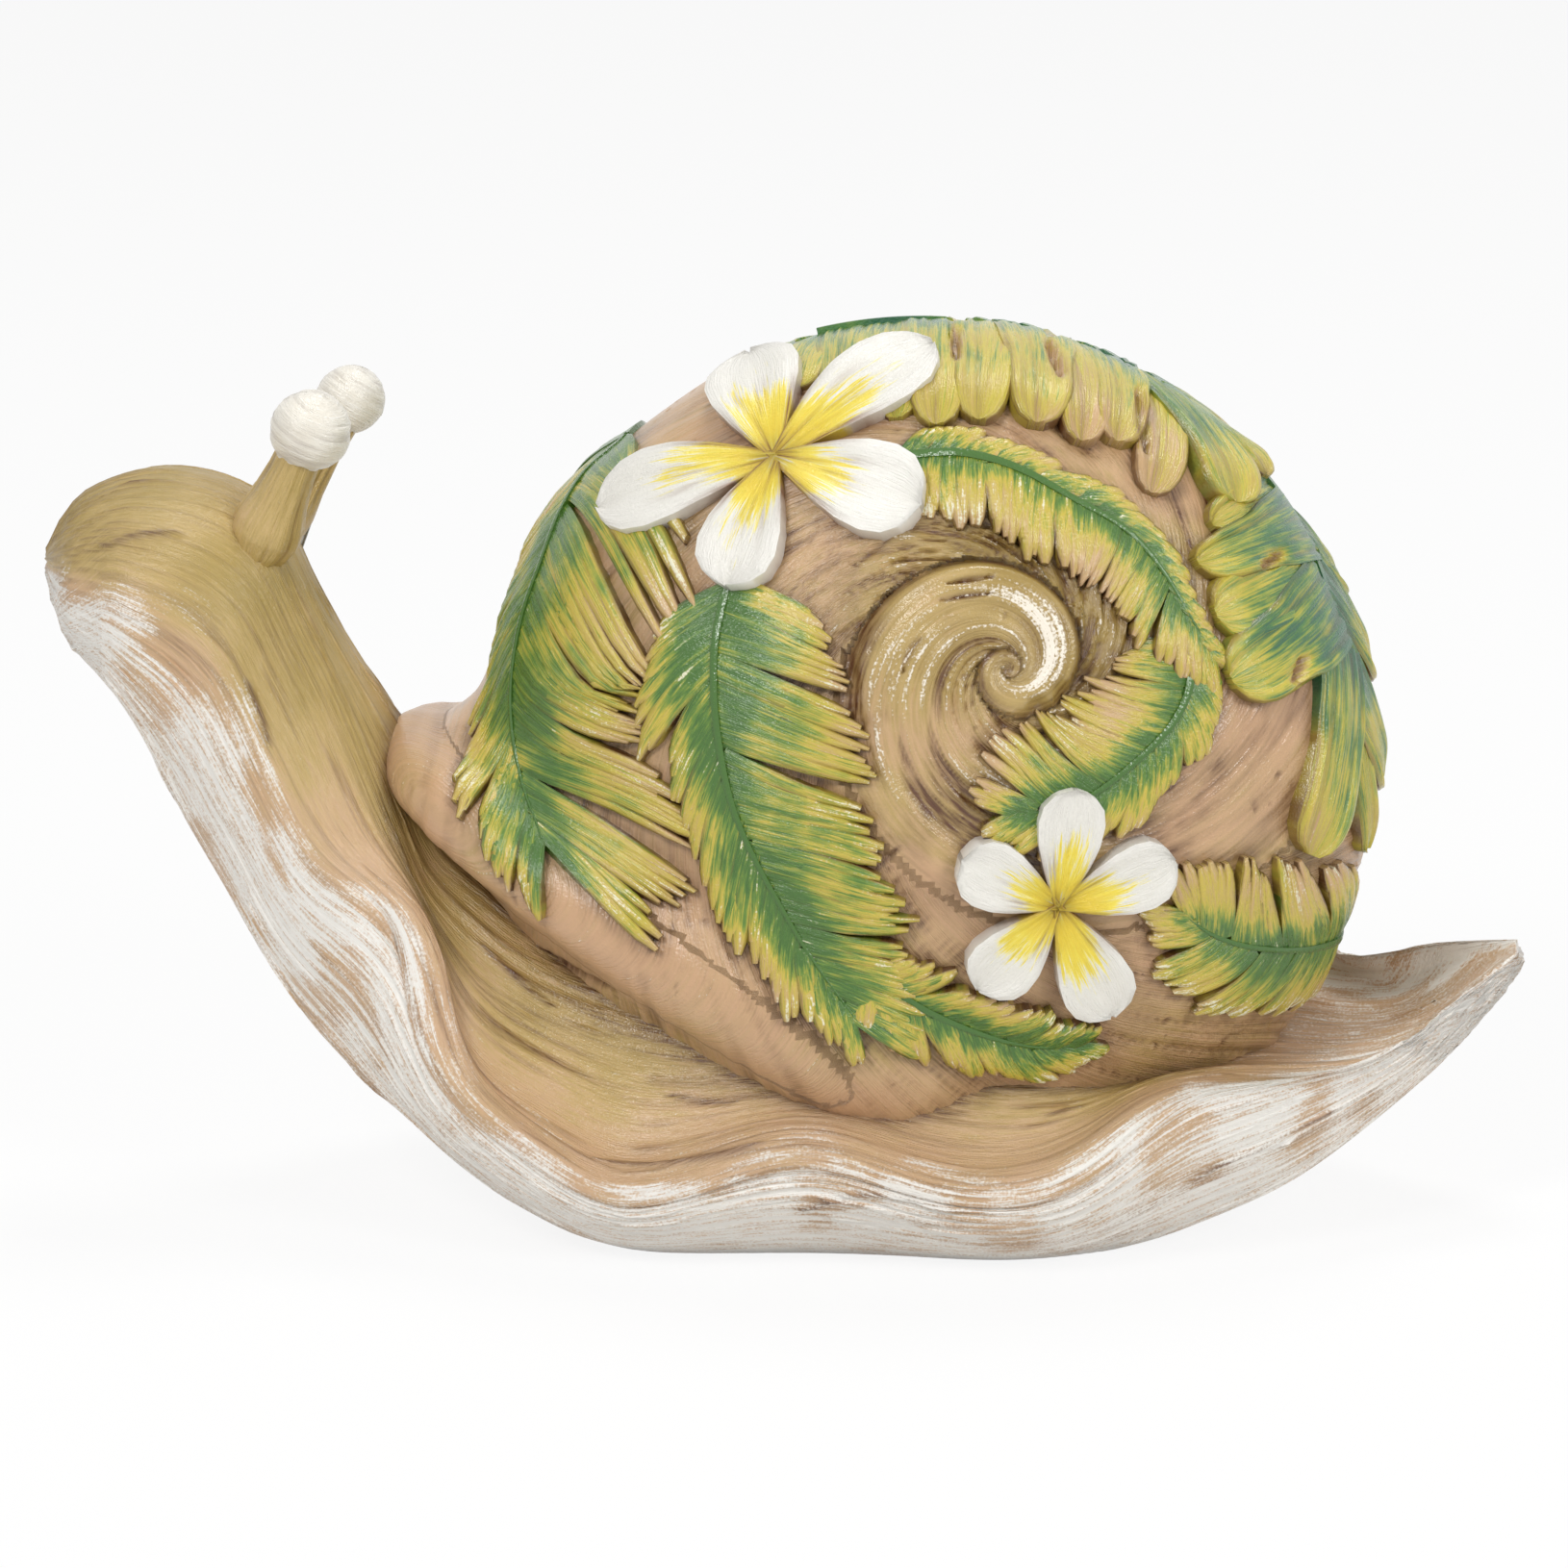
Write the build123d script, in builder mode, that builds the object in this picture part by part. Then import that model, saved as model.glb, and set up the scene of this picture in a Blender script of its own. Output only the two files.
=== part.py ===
# Garden snail ornament in cast, hand-painted resin, built as the pieces that are bonded together.
# Millimetres, +Z up. The snail faces -X and its left flank, the one that is usually shown, faces -Y.
# The origin is on the flat sole, where the piece stands.
from build123d import *

import os
from math import atan2, cos, degrees, pi, radians, sin, sqrt

# Body casting
body_length = 250.0
head_top = 126.5
foot_half_width = 54.0
body_wall = 7.0

# Shell casting
shell_radius = 74.5
shell_half_thickness = 50.5
shell_rim_round = 37.0
shell_centre_x = 23.5
shell_centre_z = 74.0
shell_wall = 6.0
shell_foot_level = 12.0

# Lip of the shell's mouth, a rounded flange on a plane that slopes down from the neck
lip_reach = 101.0
lip_half_width = 48.0
lip_depth = 9.0
lip_round = 3.2
lip_root_x = 23.0
lip_root_z = 33.0
lip_slope = 29.6

# Coil in the middle of each flank of the shell
coil_radius = 15.5
coil_lift = 2.0
coil_turns = 1.5
coil_inner_share = 0.25
coil_tube_share = 0.50
coil_start_angle = 215.0
coil_stations = 12

# Leaves and flowers that are bonded on the shell
frond_thickness = 2.0
crest_thickness = 2.6
flower_thickness = 4.5
large_petal_length = 30.5
small_petal_length = 20.0
crest_gap = 0.4
peg_radius = 3.0
peg_clearance = 0.1
peg_length = 5.0

# Eye stalks
stalk_root_radius = 6.4
stalk_neck_radius = 3.6
stalk_sink = 5.0
left_eye_radius = 6.7
right_eye_radius = 5.7
wire_radius = 0.8
wire_clearance = 0.05
wire_socket_depth = 5.0

# Vent plug in the sole
plug_radius = 9.0
plug_flange_radius = 12.0
plug_flange_thickness = 2.0
plug_clearance = 0.1
plug_recess = 0.6
plug_place_x = 30.0

# Direction from which the left flank is laid out
show_azimuth = 3.0
show_elevation = 14.0

overrun = 5.0

# Body stations from the snout to the tail tip. Each row gives the belly point and the back point of a
# section as shares of body_length and head_top, its half width as a share of foot_half_width, the
# height of the left and right rims as shares of the way from belly to back, how far the section is
# flared into a foot, and how far its back is hollowed into a dish.
station_shares = (
    (-0.498, 0.836, -0.498, 0.874, 0.05, 0.50, 0.50, 0.0, 0.0),
    (-0.491, 0.781, -0.487, 0.925, 0.18, 0.50, 0.50, 0.0, 0.0),
    (-0.472, 0.724, -0.461, 0.975, 0.28, 0.50, 0.50, 0.0, 0.0),
    (-0.447, 0.672, -0.425, 0.998, 0.35, 0.50, 0.50, 0.0, 0.0),
    (-0.428, 0.620, -0.376, 0.988, 0.375, 0.50, 0.50, 0.0, 0.0),
    (-0.413, 0.565, -0.330, 0.944, 0.375, 0.50, 0.50, 0.0, 0.0),
    (-0.395, 0.500, -0.304, 0.846, 0.37, 0.50, 0.50, 0.0, 0.0),
    (-0.373, 0.425, -0.284, 0.747, 0.40, 0.48, 0.48, 0.05, 0.0),
    (-0.346, 0.340, -0.256, 0.640, 0.51, 0.52, 0.48, 0.35, 0.0),
    (-0.303, 0.252, -0.216, 0.537, 0.68, 0.63, 0.52, 0.8, 0.0),
    (-0.243, 0.152, -0.168, 0.450, 0.79, 0.33, 0.44, 1.0, 0.0),
    (-0.178, 0.056, -0.120, 0.411, 0.88, 0.27, 0.38, 1.0, 0.0),
    (-0.112, 0.000, -0.072, 0.395, 0.95, 0.25, 0.29, 1.0, 0.0),
    (-0.048, -0.012, -0.020, 0.387, 0.99, 0.35, 0.27, 1.0, 0.0),
    (0.024, -0.012, 0.032, 0.372, 0.98, 0.44, 0.36, 1.0, 0.0),
    (0.096, -0.012, 0.096, 0.356, 0.99, 0.37, 0.44, 1.0, 0.0),
    (0.160, -0.012, 0.160, 0.332, 1.00, 0.36, 0.41, 1.0, 0.05),
    (0.220, 0.000, 0.216, 0.292, 0.95, 0.52, 0.49, 1.0, 0.3),
    (0.282, 0.024, 0.272, 0.253, 0.86, 0.87, 0.85, 1.0, 0.7),
    (0.347, 0.076, 0.328, 0.229, 0.73, 1.05, 1.25, 1.0, 1.0),
    (0.411, 0.162, 0.388, 0.221, 0.54, 1.30, 2.00, 1.0, 1.0),
    (0.457, 0.234, 0.436, 0.249, 0.35, 1.60, 3.00, 1.0, 1.0),
    (0.483, 0.289, 0.470, 0.300, 0.18, 1.60, 2.40, 1.0, 1.0),
    (0.500, 0.332, 0.495, 0.344, 0.03, 0.60, 0.60, 1.0, 1.0),
)

# Section corners of a round neck, of a flared foot and of the dished tail, as shares of the half width
# across and of the section's depth upwards
neck_belly_share, foot_belly_share = 0.30, 0.70
neck_flank_share, foot_flank_share = 0.84, 0.93
neck_flank_rise_share, foot_flank_rise_share = 0.22, 0.45
neck_upper_share, foot_upper_share = 0.86, 0.87
neck_upper_rise_share, foot_upper_step_share, dish_upper_share = 0.74, 0.08, 0.5
neck_shoulder_share, foot_shoulder_share, dish_shoulder_share = 0.52, 0.72, 0.45
neck_shoulder_rise_share, foot_shoulder_rise_share, dish_shoulder_rise_share = 0.93, 0.72, 0.1

# The hollow inside the body: the stations that it runs between and its half width
hollow_first_station, hollow_last_station = 4, 18
hollow_width_share = 0.60
hollow_middle_share = 0.48


def mix(first, second, share):
    """The value that lies share of the way from first to second."""
    return first + (second - first) * share


def half_section(half_width, depth, rim, flare, dish):
    """Belly, flank, rim, upper flank and shoulder of one side of a section, as (lateral, height)."""
    belly = mix(neck_belly_share, foot_belly_share, flare)
    flank = mix(neck_flank_share, foot_flank_share, flare)
    flank_rise = mix(neck_flank_rise_share, foot_flank_rise_share * rim, flare)
    upper = mix(neck_upper_share, foot_upper_share, flare)
    upper_rise = mix(neck_upper_rise_share, rim + foot_upper_step_share, flare)
    upper_rise = mix(upper_rise, mix(1, rim, dish_upper_share), dish)
    shoulder = mix(mix(neck_shoulder_share, foot_shoulder_share, flare), dish_shoulder_share, dish)
    shoulder_rise = mix(neck_shoulder_rise_share, foot_shoulder_rise_share, flare)
    shoulder_rise = mix(shoulder_rise, mix(1, rim, dish_shoulder_rise_share), dish)
    shares = ((belly, 0), (flank, flank_rise), (1, rim), (upper, upper_rise), (shoulder, shoulder_rise))
    return [(across * half_width, rise * depth) for across, rise in shares]


def station_plane(row):
    """The plane of a body station, with its origin at the belly point, and the section's depth."""
    belly = Vector(row[0] * body_length, 0, row[1] * head_top)
    back = Vector(row[2] * body_length, 0, row[3] * head_top)
    up = (back - belly).normalized()
    return Plane(origin=belly, x_dir=(0, 1, 0), z_dir=Vector(0, 1, 0).cross(up)), (back - belly).length


# Body: one casting from snout to tail, made by a loft and trimmed flat at the sole
with BuildPart() as body_form:
    for row in station_shares:
        section_plane, depth = station_plane(row)
        half_width = row[4] * foot_half_width
        right = half_section(half_width, depth, row[6], row[7], row[8])
        left = half_section(half_width, depth, row[5], row[7], row[8])
        ring = right + [(0, depth)] + [(-across, rise) for across, rise in reversed(left)]
        with BuildSketch(section_plane):
            with BuildLine():
                Line(ring[-1], ring[0])
                Spline(ring)
            make_face()
    loft()
    split(bisect_by=Plane.XY, keep=Keep.TOP)


# Radius of the round cap on each flank of the shell, which meets the round rim without a corner
rim_middle = shell_radius - shell_rim_round
cap_radius = (rim_middle**2 + shell_half_thickness**2 - shell_rim_round**2) / (
    2 * (shell_half_thickness - shell_rim_round)
)
cap_turn = degrees(atan2(rim_middle, cap_radius - shell_half_thickness))
# Half outline of the lip from its root to its front, as shares of its reach and of its half width
lip_outline_shares = ((0, 0.80), (0.12, 0.94), (0.3, 1.0), (0.6, 0.93), (0.85, 0.66), (0.96, 0.36), (1, 0))
# Middle of the coil from the shell's centre, as shares of shell_radius
coil_middle_shares = (0.175, 0.375)
# Depth of the coil's outer end under the skin, as a share of its tube, and where along it the coil is out
coil_sink_share, coil_out_share = 0.95, 0.62

shell_middle = Vector(shell_centre_x, 0, shell_centre_z)
lip_plane = Plane(
    origin=(lip_root_x, 0, lip_root_z),
    x_dir=(-cos(radians(lip_slope)), 0, sin(radians(lip_slope))),
    z_dir=(-sin(radians(lip_slope)), 0, -cos(radians(lip_slope))),
)


def make_dome(grow):
    """The shell's round form, without lip or coils, its skin moved out by grow."""
    cap_middle = cap_radius - shell_half_thickness
    rim_turn = 90 - cap_turn
    with BuildPart() as dome:
        with BuildSketch(Plane(origin=shell_middle)):
            with BuildLine():
                cap = CenterArc((0, -cap_middle), cap_radius + grow, rim_turn, cap_turn)
                CenterArc((rim_middle, 0), shell_rim_round + grow, -rim_turn, 2 * rim_turn)
                other_cap = CenterArc((0, cap_middle), cap_radius + grow, -90, cap_turn)
                Line(cap @ 1, other_cap @ 0)
            make_face()
        revolve(axis=Axis(shell_middle, (0, 1, 0)))
    return dome.part


def make_coil(side):
    """The coil of one flank, a tube that narrows along a spiral; side is -1 for left and 1 for right."""
    with BuildPart() as coil:
        for step in range(coil_stations + 1):
            share = step / coil_stations
            angle = radians(coil_start_angle) - share * coil_turns * 2 * pi
            reach = mix(coil_radius, coil_radius * coil_inner_share, share)
            tube = coil_tube_share * reach
            across = coil_middle_shares[0] * shell_radius + reach * cos(angle)
            up = coil_middle_shares[1] * shell_radius + reach * sin(angle)
            skin = shell_half_thickness - cap_radius + sqrt(cap_radius**2 - across**2 - up**2)
            sink = mix(coil_sink_share * tube, -coil_lift, min(1, share / coil_out_share))
            place = shell_middle + Vector(across, side * (skin - sink), up)
            with BuildSketch(Plane(origin=place, x_dir=(0, -side, 0), z_dir=(sin(angle), 0, -cos(angle)))):
                Circle(tube)
        loft()
    return coil.part


# Lip of the mouth, a flange with rounded edges
with BuildPart() as lip:
    with BuildSketch(lip_plane):
        with BuildLine():
            right = [(along * lip_reach, across * lip_half_width) for along, across in lip_outline_shares]
            left = [(along, -across) for along, across in reversed(right[:-1])]
            Spline(right + left)
            Line(left[-1], right[0])
        make_face()
    extrude(amount=lip_depth)
    fillet(lip.edges().filter_by(GeomType.BSPLINE), radius=lip_round)

# Outer form of the shell, solid: dome, lip and both coils
dome = make_dome(0)
coils = [make_coil(side) for side in (-1, 1)]
with BuildPart() as shell_form:
    add(dome)
    add(lip.part)
    for coil in coils:
        add(coil)
    split(bisect_by=Plane.XY.offset(shell_foot_level), keep=Keep.TOP)

# Leaves and flowers are laid out from the shown side, on a plane through the shell's middle. Their points
# are shares of shell_radius, to the right and upwards as they are seen from there.
show_back = Vector(
    sin(radians(show_azimuth)) * cos(radians(show_elevation)),
    -cos(radians(show_azimuth)) * cos(radians(show_elevation)),
    sin(radians(show_elevation)),
)
show_right = Vector(cos(radians(show_azimuth)), sin(radians(show_azimuth)), 0)
show_plane = Plane(origin=shell_middle, x_dir=show_right, z_dir=show_back)

# Middle of each flower. On the right flank the large one lies lower.
flower_place_shares = {
    "left": {"large_flower": (-0.314, 0.667), "small_flower": (0.289, -0.293)},
    "right": {"large_flower": (-0.36, 0.40), "small_flower": (0.289, -0.293)},
}
petal_lengths = {"large_flower": large_petal_length, "small_flower": small_petal_length}
# Direction of each petal in degrees, and its length as a share of the petal length, as they are seen
petal_shares = {
    "large_flower": ((107, 0.70), (42, 1.0), (-17, 0.76), (-113, 0.70), (-169, 0.98)),
    "small_flower": ((82, 0.94), (21, 1.0), (-63, 1.0), (-134, 0.92), (154, 0.86)),
}
# Half outline of a petal, as shares of its own length along it and of the petal length across it
petal_outline_shares = ((0.35, 0.17), (0.72, 0.27), (0.94, 0.15))
throat_share = 0.22

# Fronds of the shown flank: midrib from the stem to the tip, half width, and leaflets to a side
frond_shares = {
    "front_frond": (((-0.69, 0.66), (-0.83, 0.37), (-0.87, 0.10), (-0.82, -0.11), (-0.66, -0.39)), 0.20, 11),
    "throat_frond": (((-0.42, 0.40), (-0.45, 0.20), (-0.39, -0.11), (-0.27, -0.34), (-0.13, -0.56)), 0.19, 12),
    "crown_frond": (((-0.03, 0.68), (0.19, 0.64), (0.40, 0.53), (0.55, 0.35), (0.64, 0.23)), 0.14, 11),
    "whorl_frond": (((0.57, 0.22), (0.53, 0.10), (0.44, -0.01), (0.29, -0.09), (0.10, -0.11)), 0.14, 11),
    "tail_frond": (((0.92, -0.37), (0.78, -0.39), (0.64, -0.345), (0.51, -0.262)), 0.15, 7),
    "hem_frond": (((-0.15, -0.40), (0.00, -0.51), (0.19, -0.59), (0.39, -0.595)), 0.12, 9),
}
# Leaves over the crest: midrib from stem to tip, half width, and lobes to a side
crest_shares = {
    "crest_leaf": (((-0.66, 0.05), (-0.15, 0.06), (0.43, 0.04)), 0.38, 7),
    "rear_leaf": (((-0.50, 0.36), (-0.12, 0.30), (0.36, 0.18)), 0.32, 5),
}
# Where a crest leaf faces, in degrees about the shell's axis from the tail upwards, and towards the left
crest_facings = {"crest_leaf": (68, 0), "rear_leaf": (12, 30)}
# Depth of the notch between leaflets and their lean to the tip, as shares of the half width
frond_notch_share, frond_lean_share = 0.68, 0.60
# Start, tip and end of a lobe and the bottom of the slit after it, along the lobe and as shares of its
# reach, and the lean of lobes
lobe_shares = ((0.08, 0.86), (0.5, 1.0), (0.92, 0.86), (1.0, 0.35))
lobe_lean_share = 0.35
# Width at the stem
stem_share = 0.45
# Height of the body's back under the shell, above which no leaf can meet the body
saddle_top_share = 0.45
leaf_fullness = 0.6
leaf_tip_power = 6


def edge_point(midrib, share, reach, side, lean_share):
    """A point on a leaf's edge, reach away from the midrib and leaning to the tip."""
    along = midrib % share
    across = Vector(-along.Y, along.X) * side
    return (midrib @ share) + across * reach + along * (lean_share * reach)


def leaf_reach(half_width, share):
    """How far a leaf reaches from its midrib, a share of the way from its stem to its tip."""
    return half_width * mix(stem_share, 1, sin(pi * share) ** leaf_fullness) * (1 - share**leaf_tip_power)


def leaflet_edge(midrib, half_width, count, side):
    """Notches and tips in turn along one side of a frond, from its stem to its tip."""
    points = []
    for step in range(2 * count + 1):
        share = step / (2 * count)
        reach = leaf_reach(half_width, share)
        if step % 2 == 0:
            reach = reach * frond_notch_share
        points.append(edge_point(midrib, share, reach, side, frond_lean_share))
    return points


def lobe_edge(midrib, half_width, count, side):
    """Start, tip, end and slit of each lobe along one side of a leaf, from its stem to its tip."""
    lobes = []
    for number in range(count):
        lobe = []
        for place_share, reach_share in lobe_shares:
            share = (number + place_share) / count
            reach = leaf_reach(half_width, share) * reach_share
            lobe.append(edge_point(midrib, share, reach, side, lobe_lean_share))
        lobes.append(lobe)
    return lobes


def overlaps(first, second):
    """Whether the boxes around two pieces overlap."""
    a, b = first.bounding_box(), second.bounding_box()
    apart = (
        a.max.X < b.min.X or b.max.X < a.min.X,
        a.max.Y < b.min.Y or b.max.Y < a.min.Y,
        a.max.Z < b.min.Z or b.max.Z < a.min.Z,
    )
    return not any(apart)


def cut_clear(blank, neighbours):
    """A blank with the blanks of its neighbours taken out of it."""
    with BuildPart() as cleared:
        add(blank)
        for neighbour in neighbours:
            if overlaps(blank, neighbour):
                add(neighbour, mode=Mode.SUBTRACT)
    return cleared.part


def lay_on_shell(blank, thickness):
    """What a blank leaves on the shell, as a skin of the given thickness."""
    grown_dome = make_dome(thickness)
    with BuildPart() as skin:
        add(blank)
        add(grown_dome, mode=Mode.INTERSECT)
        add(shell_form.part, mode=Mode.SUBTRACT)
    return skin.part.solids().sort_by(SortBy.VOLUME)[-1]


def clear_body(skin):
    """A skin with the body taken out of it, where it reaches down to the body."""
    if skin.bounding_box().min.Z > saddle_top_share * head_top:
        return skin
    with BuildPart() as cleared:
        add(skin)
        add(body_form.part, mode=Mode.SUBTRACT)
    return cleared.part.solids().sort_by(SortBy.VOLUME)[-1]


def keep_left(blank):
    """The part of a blank that lies on the left flank."""
    with BuildPart() as left:
        add(blank)
        split(bisect_by=Plane.XZ.offset(crest_gap / 2), keep=Keep.TOP)
    return left.part


def flower_plane(across_share, up_share):
    """The plane that touches the shell at a place of the shown flank."""
    start = shell_middle + show_plane.x_dir * (across_share * shell_radius)
    start = start + show_plane.y_dir * (up_share * shell_radius)
    place, normal = dome.find_intersection_points(Axis(start, show_back))[-1]
    return Plane(origin=place, x_dir=show_right, z_dir=normal)


def petal_axis(plane, turn):
    """A petal's direction in its flower's plane, as long as it takes to be seen at unit length."""
    seen = show_plane.x_dir * cos(radians(turn)) + show_plane.y_dir * sin(radians(turn))
    lying = seen - show_back * (seen.dot(plane.z_dir) / show_back.dot(plane.z_dir))
    return Vector(lying.dot(plane.x_dir), lying.dot(plane.y_dir))


def flower_blank(plane, petal_length, petals):
    """A block with the outline of a flower's petals, square to the plane that touches the shell."""
    with BuildPart() as blank:
        with BuildSketch(plane):
            Circle(throat_share * petal_length)
            for turn, length_share in petals:
                axis = petal_axis(plane, turn)
                along = axis * (length_share * petal_length)
                across = Vector(-axis.Y, axis.X).normalized() * petal_length
                with BuildLine():
                    right = [along * out + across * wide for out, wide in petal_outline_shares]
                    left = [along * out - across * wide for out, wide in reversed(petal_outline_shares)]
                    Spline([Vector()] + right + [along] + left + [Vector()])
                make_face()
        extrude(amount=petal_length, both=True)
    return keep_left(blank.part)


def make_peg(plane, radius, length):
    """A round peg that goes straight into the shell from the plane that touches it."""
    with BuildPart() as peg:
        with BuildSketch(plane):
            Circle(radius)
        extrude(amount=-length)
    return peg.part


def frond_blank(midrib_shares, half_width_share, count):
    """A block with the outline of a palm frond, square to the plane of the shown side."""
    midrib = Spline([Vector(across, up) * shell_radius for across, up in midrib_shares])
    right = leaflet_edge(midrib, half_width_share * shell_radius, count, -1)
    left = leaflet_edge(midrib, half_width_share * shell_radius, count, 1)
    with BuildPart() as blank:
        with BuildSketch(show_plane):
            with BuildLine():
                Polyline(right + left[-2::-1], close=True)
            make_face()
        extrude(amount=shell_radius + overrun)
    return keep_left(blank.part)


def crest_blank(facing, lean, midrib_shares, half_width_share, count):
    """A block with the outline of a leaf over the crest, each lobe an arc with a slit beside it."""
    face, tilt = radians(facing), radians(lean)
    plane = Plane(
        origin=shell_middle,
        x_dir=(sin(face), 0, -cos(face)),
        z_dir=(cos(face) * cos(tilt), -sin(tilt), sin(face) * cos(tilt)),
    )
    midrib = Spline([Vector(along, across) * shell_radius for along, across in midrib_shares])
    right = lobe_edge(midrib, half_width_share * shell_radius, count, -1)
    left = lobe_edge(midrib, half_width_share * shell_radius, count, 1)
    with BuildPart() as blank:
        with BuildSketch(plane):
            with BuildLine():
                for lobes in (right, left):
                    for start, tip, end, slit in lobes:
                        ThreePointArc(start, tip, end)
                        Line(end, slit)
                    for before, after in zip(lobes, lobes[1:]):
                        Line(before[-1], after[0])
                Line(left[0][0], right[0][0])
            make_face()
        extrude(amount=shell_radius + overrun)
    return blank.part


pieces = {}
blanks = []
sockets = []
# Flowers and fronds of both flanks, each clear of those before it. The right flank is laid out as a left
# one and then mirrored.
for side, places in flower_place_shares.items():
    side_blanks = []
    side_pieces = {}
    for name, place_shares in places.items():
        plane = flower_plane(*place_shares)
        blank = flower_blank(plane, petal_lengths[name], petal_shares[name])
        petals = lay_on_shell(blank, flower_thickness)
        peg = make_peg(plane, peg_radius, peg_length)
        with BuildPart() as flower:
            add(petals)
            add(peg)
        side_pieces[name] = flower.part
        side_blanks.append(blank)
        socket = make_peg(plane, peg_radius + peg_clearance, peg_length + peg_clearance)
        sockets.append(socket if side == "left" else mirror(socket, about=Plane.XZ))
    for name, shares in frond_shares.items():
        blank = frond_blank(*shares)
        side_pieces[name] = lay_on_shell(cut_clear(blank, side_blanks), frond_thickness)
        side_blanks.append(blank)
    for name, skin in side_pieces.items():
        pieces[f"{side}_{name}"] = clear_body(skin if side == "left" else mirror(skin, about=Plane.XZ))
    blanks += [blank if side == "left" else mirror(blank, about=Plane.XZ) for blank in side_blanks]

# Leaves over the crest and the back, clear of the rest
for name, shares in crest_shares.items():
    blank = crest_blank(*crest_facings[name], *shares)
    pieces[name] = clear_body(lay_on_shell(cut_clear(blank, blanks), crest_thickness))
    blanks.append(blank)

# Shell: hollow, open below where it sits over the back of the body, with a socket for each flower's peg
inner_dome = make_dome(-shell_wall)
with BuildPart() as shell:
    add(shell_form.part)
    add(inner_dome, mode=Mode.SUBTRACT)
    add(body_form.part, mode=Mode.SUBTRACT)
    for socket in sockets:
        add(socket, mode=Mode.SUBTRACT)
pieces["shell"] = shell.part

# Eye stalks: middle of each eye and root of each stalk, as shares of body_length, foot_half_width and
# head_top
eye_shares = {"left": (-0.310, -0.222, 1.051), "right": (-0.293, 0.222, 1.054)}
root_shares = {"left": (-0.346, -0.160, 0.890), "right": (-0.325, 0.160, 0.875)}
eye_radii = {"left": left_eye_radius, "right": right_eye_radius}
# Outline of a stalk: shares of the way from root to eye, and of the way from neck radius to root radius
stalk_outline_shares = ((0, 1), (0.25, 0.55), (0.55, 0.15), (1, 0))
# Depth of the wire in the eye, as a share of the eye's radius
wire_grip_share = 0.5


def body_place(shares):
    """A place on the body from shares of its length, half width and height."""
    return Vector(shares[0] * body_length, shares[1] * foot_half_width, shares[2] * head_top)


def make_pin(root, eye, start, end, radius):
    """A round pin along a stalk's axis, from start before its root to end past the eye's middle."""
    axis = (eye - root).normalized()
    with BuildPart() as pin:
        with BuildSketch(Plane(origin=root - axis * start, z_dir=axis)):
            Circle(radius)
        extrude(amount=start + (eye - root).length + end)
    return pin.part


def make_stalk(root, eye):
    """A stalk that flares out of the head, turned about the line from its root to the eye."""
    axis = (eye - root).normalized()
    length = (eye - root).length
    outward = axis.cross(Vector(0, 1, 0)).normalized()
    width = stalk_root_radius - stalk_neck_radius
    outline = [(stalk_neck_radius + width * wide, length * out) for out, wide in stalk_outline_shares]
    with BuildPart() as stalk:
        with BuildSketch(Plane(origin=root, x_dir=outward, z_dir=outward.cross(axis))):
            with BuildLine():
                Polyline((0, length), (0, -stalk_sink), (stalk_root_radius, -stalk_sink), outline[0])
                Spline(outline)
                Line(outline[-1], (0, length))
            make_face()
        revolve(axis=Axis(root, axis))
    return stalk.part


wire_holes = []
for side, shares in eye_shares.items():
    eye_middle, root = body_place(shares), body_place(root_shares[side])
    grip = wire_grip_share * eye_radii[side]
    hole = make_pin(root, eye_middle, wire_socket_depth, grip, wire_radius + wire_clearance)
    wire_holes.append(hole)
    with BuildPart() as eye:
        with Locations(eye_middle):
            Sphere(eye_radii[side])
        add(hole, mode=Mode.SUBTRACT)
    cone = make_stalk(root, eye_middle)
    with BuildPart() as stalk:
        add(cone)
        add(body_form.part, mode=Mode.SUBTRACT)
        with Locations(eye_middle):
            Sphere(eye_radii[side], mode=Mode.SUBTRACT)
        add(hole, mode=Mode.SUBTRACT)
    pieces[f"{side}_eye"] = eye.part
    pieces[f"{side}_stalk"] = stalk.part
    pieces[f"{side}_stalk_wire"] = make_pin(root, eye_middle, wire_socket_depth, grip, wire_radius)

# Body: the form with its hollow, the vent in the sole and a socket for each stalk's wire
with BuildPart() as hollow:
    for row in station_shares[hollow_first_station : hollow_last_station + 1]:
        section_plane, depth = station_plane(row)
        with BuildSketch(section_plane):
            with Locations((0, hollow_middle_share * depth)):
                Ellipse(hollow_width_share * row[4] * foot_half_width, depth / 2 - body_wall)
    loft()
sole_plane = Plane(origin=(plug_place_x, 0, 0), z_dir=(0, 0, -1))
with BuildPart() as body:
    add(body_form.part)
    add(hollow.part, mode=Mode.SUBTRACT)
    for hole in wire_holes:
        add(hole, mode=Mode.SUBTRACT)
    with Locations(sole_plane):
        CounterBoreHole(
            radius=plug_radius + plug_clearance,
            counter_bore_radius=plug_flange_radius + plug_clearance,
            counter_bore_depth=plug_recess + plug_flange_thickness,
            depth=body_wall + overrun,
        )
pieces["body"] = body.part

# Vent plug: a flanged bung, set back a little from the sole
with BuildPart() as vent_plug:
    with BuildSketch(sole_plane.offset(-plug_recess)):
        Circle(plug_flange_radius)
    extrude(amount=-plug_flange_thickness)
    with BuildSketch(sole_plane.offset(-plug_recess)):
        Circle(plug_radius)
    extrude(amount=-(plug_flange_thickness + body_wall))
pieces["vent_plug"] = vent_plug.part

os.makedirs("parts", exist_ok=True)
for name, piece in pieces.items():
    piece.label = name
    export_step(piece, f"parts/{name}.step")
    print(name, piece.is_valid, [round(solid.volume, 1) for solid in piece.solids()])
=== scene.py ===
"""Looks of the snail figurine: a cast resin snail, carved with leaves and flowers and painted by hand."""
import itertools
import logging
import math
from dataclasses import dataclass, field
from enum import Enum

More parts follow.
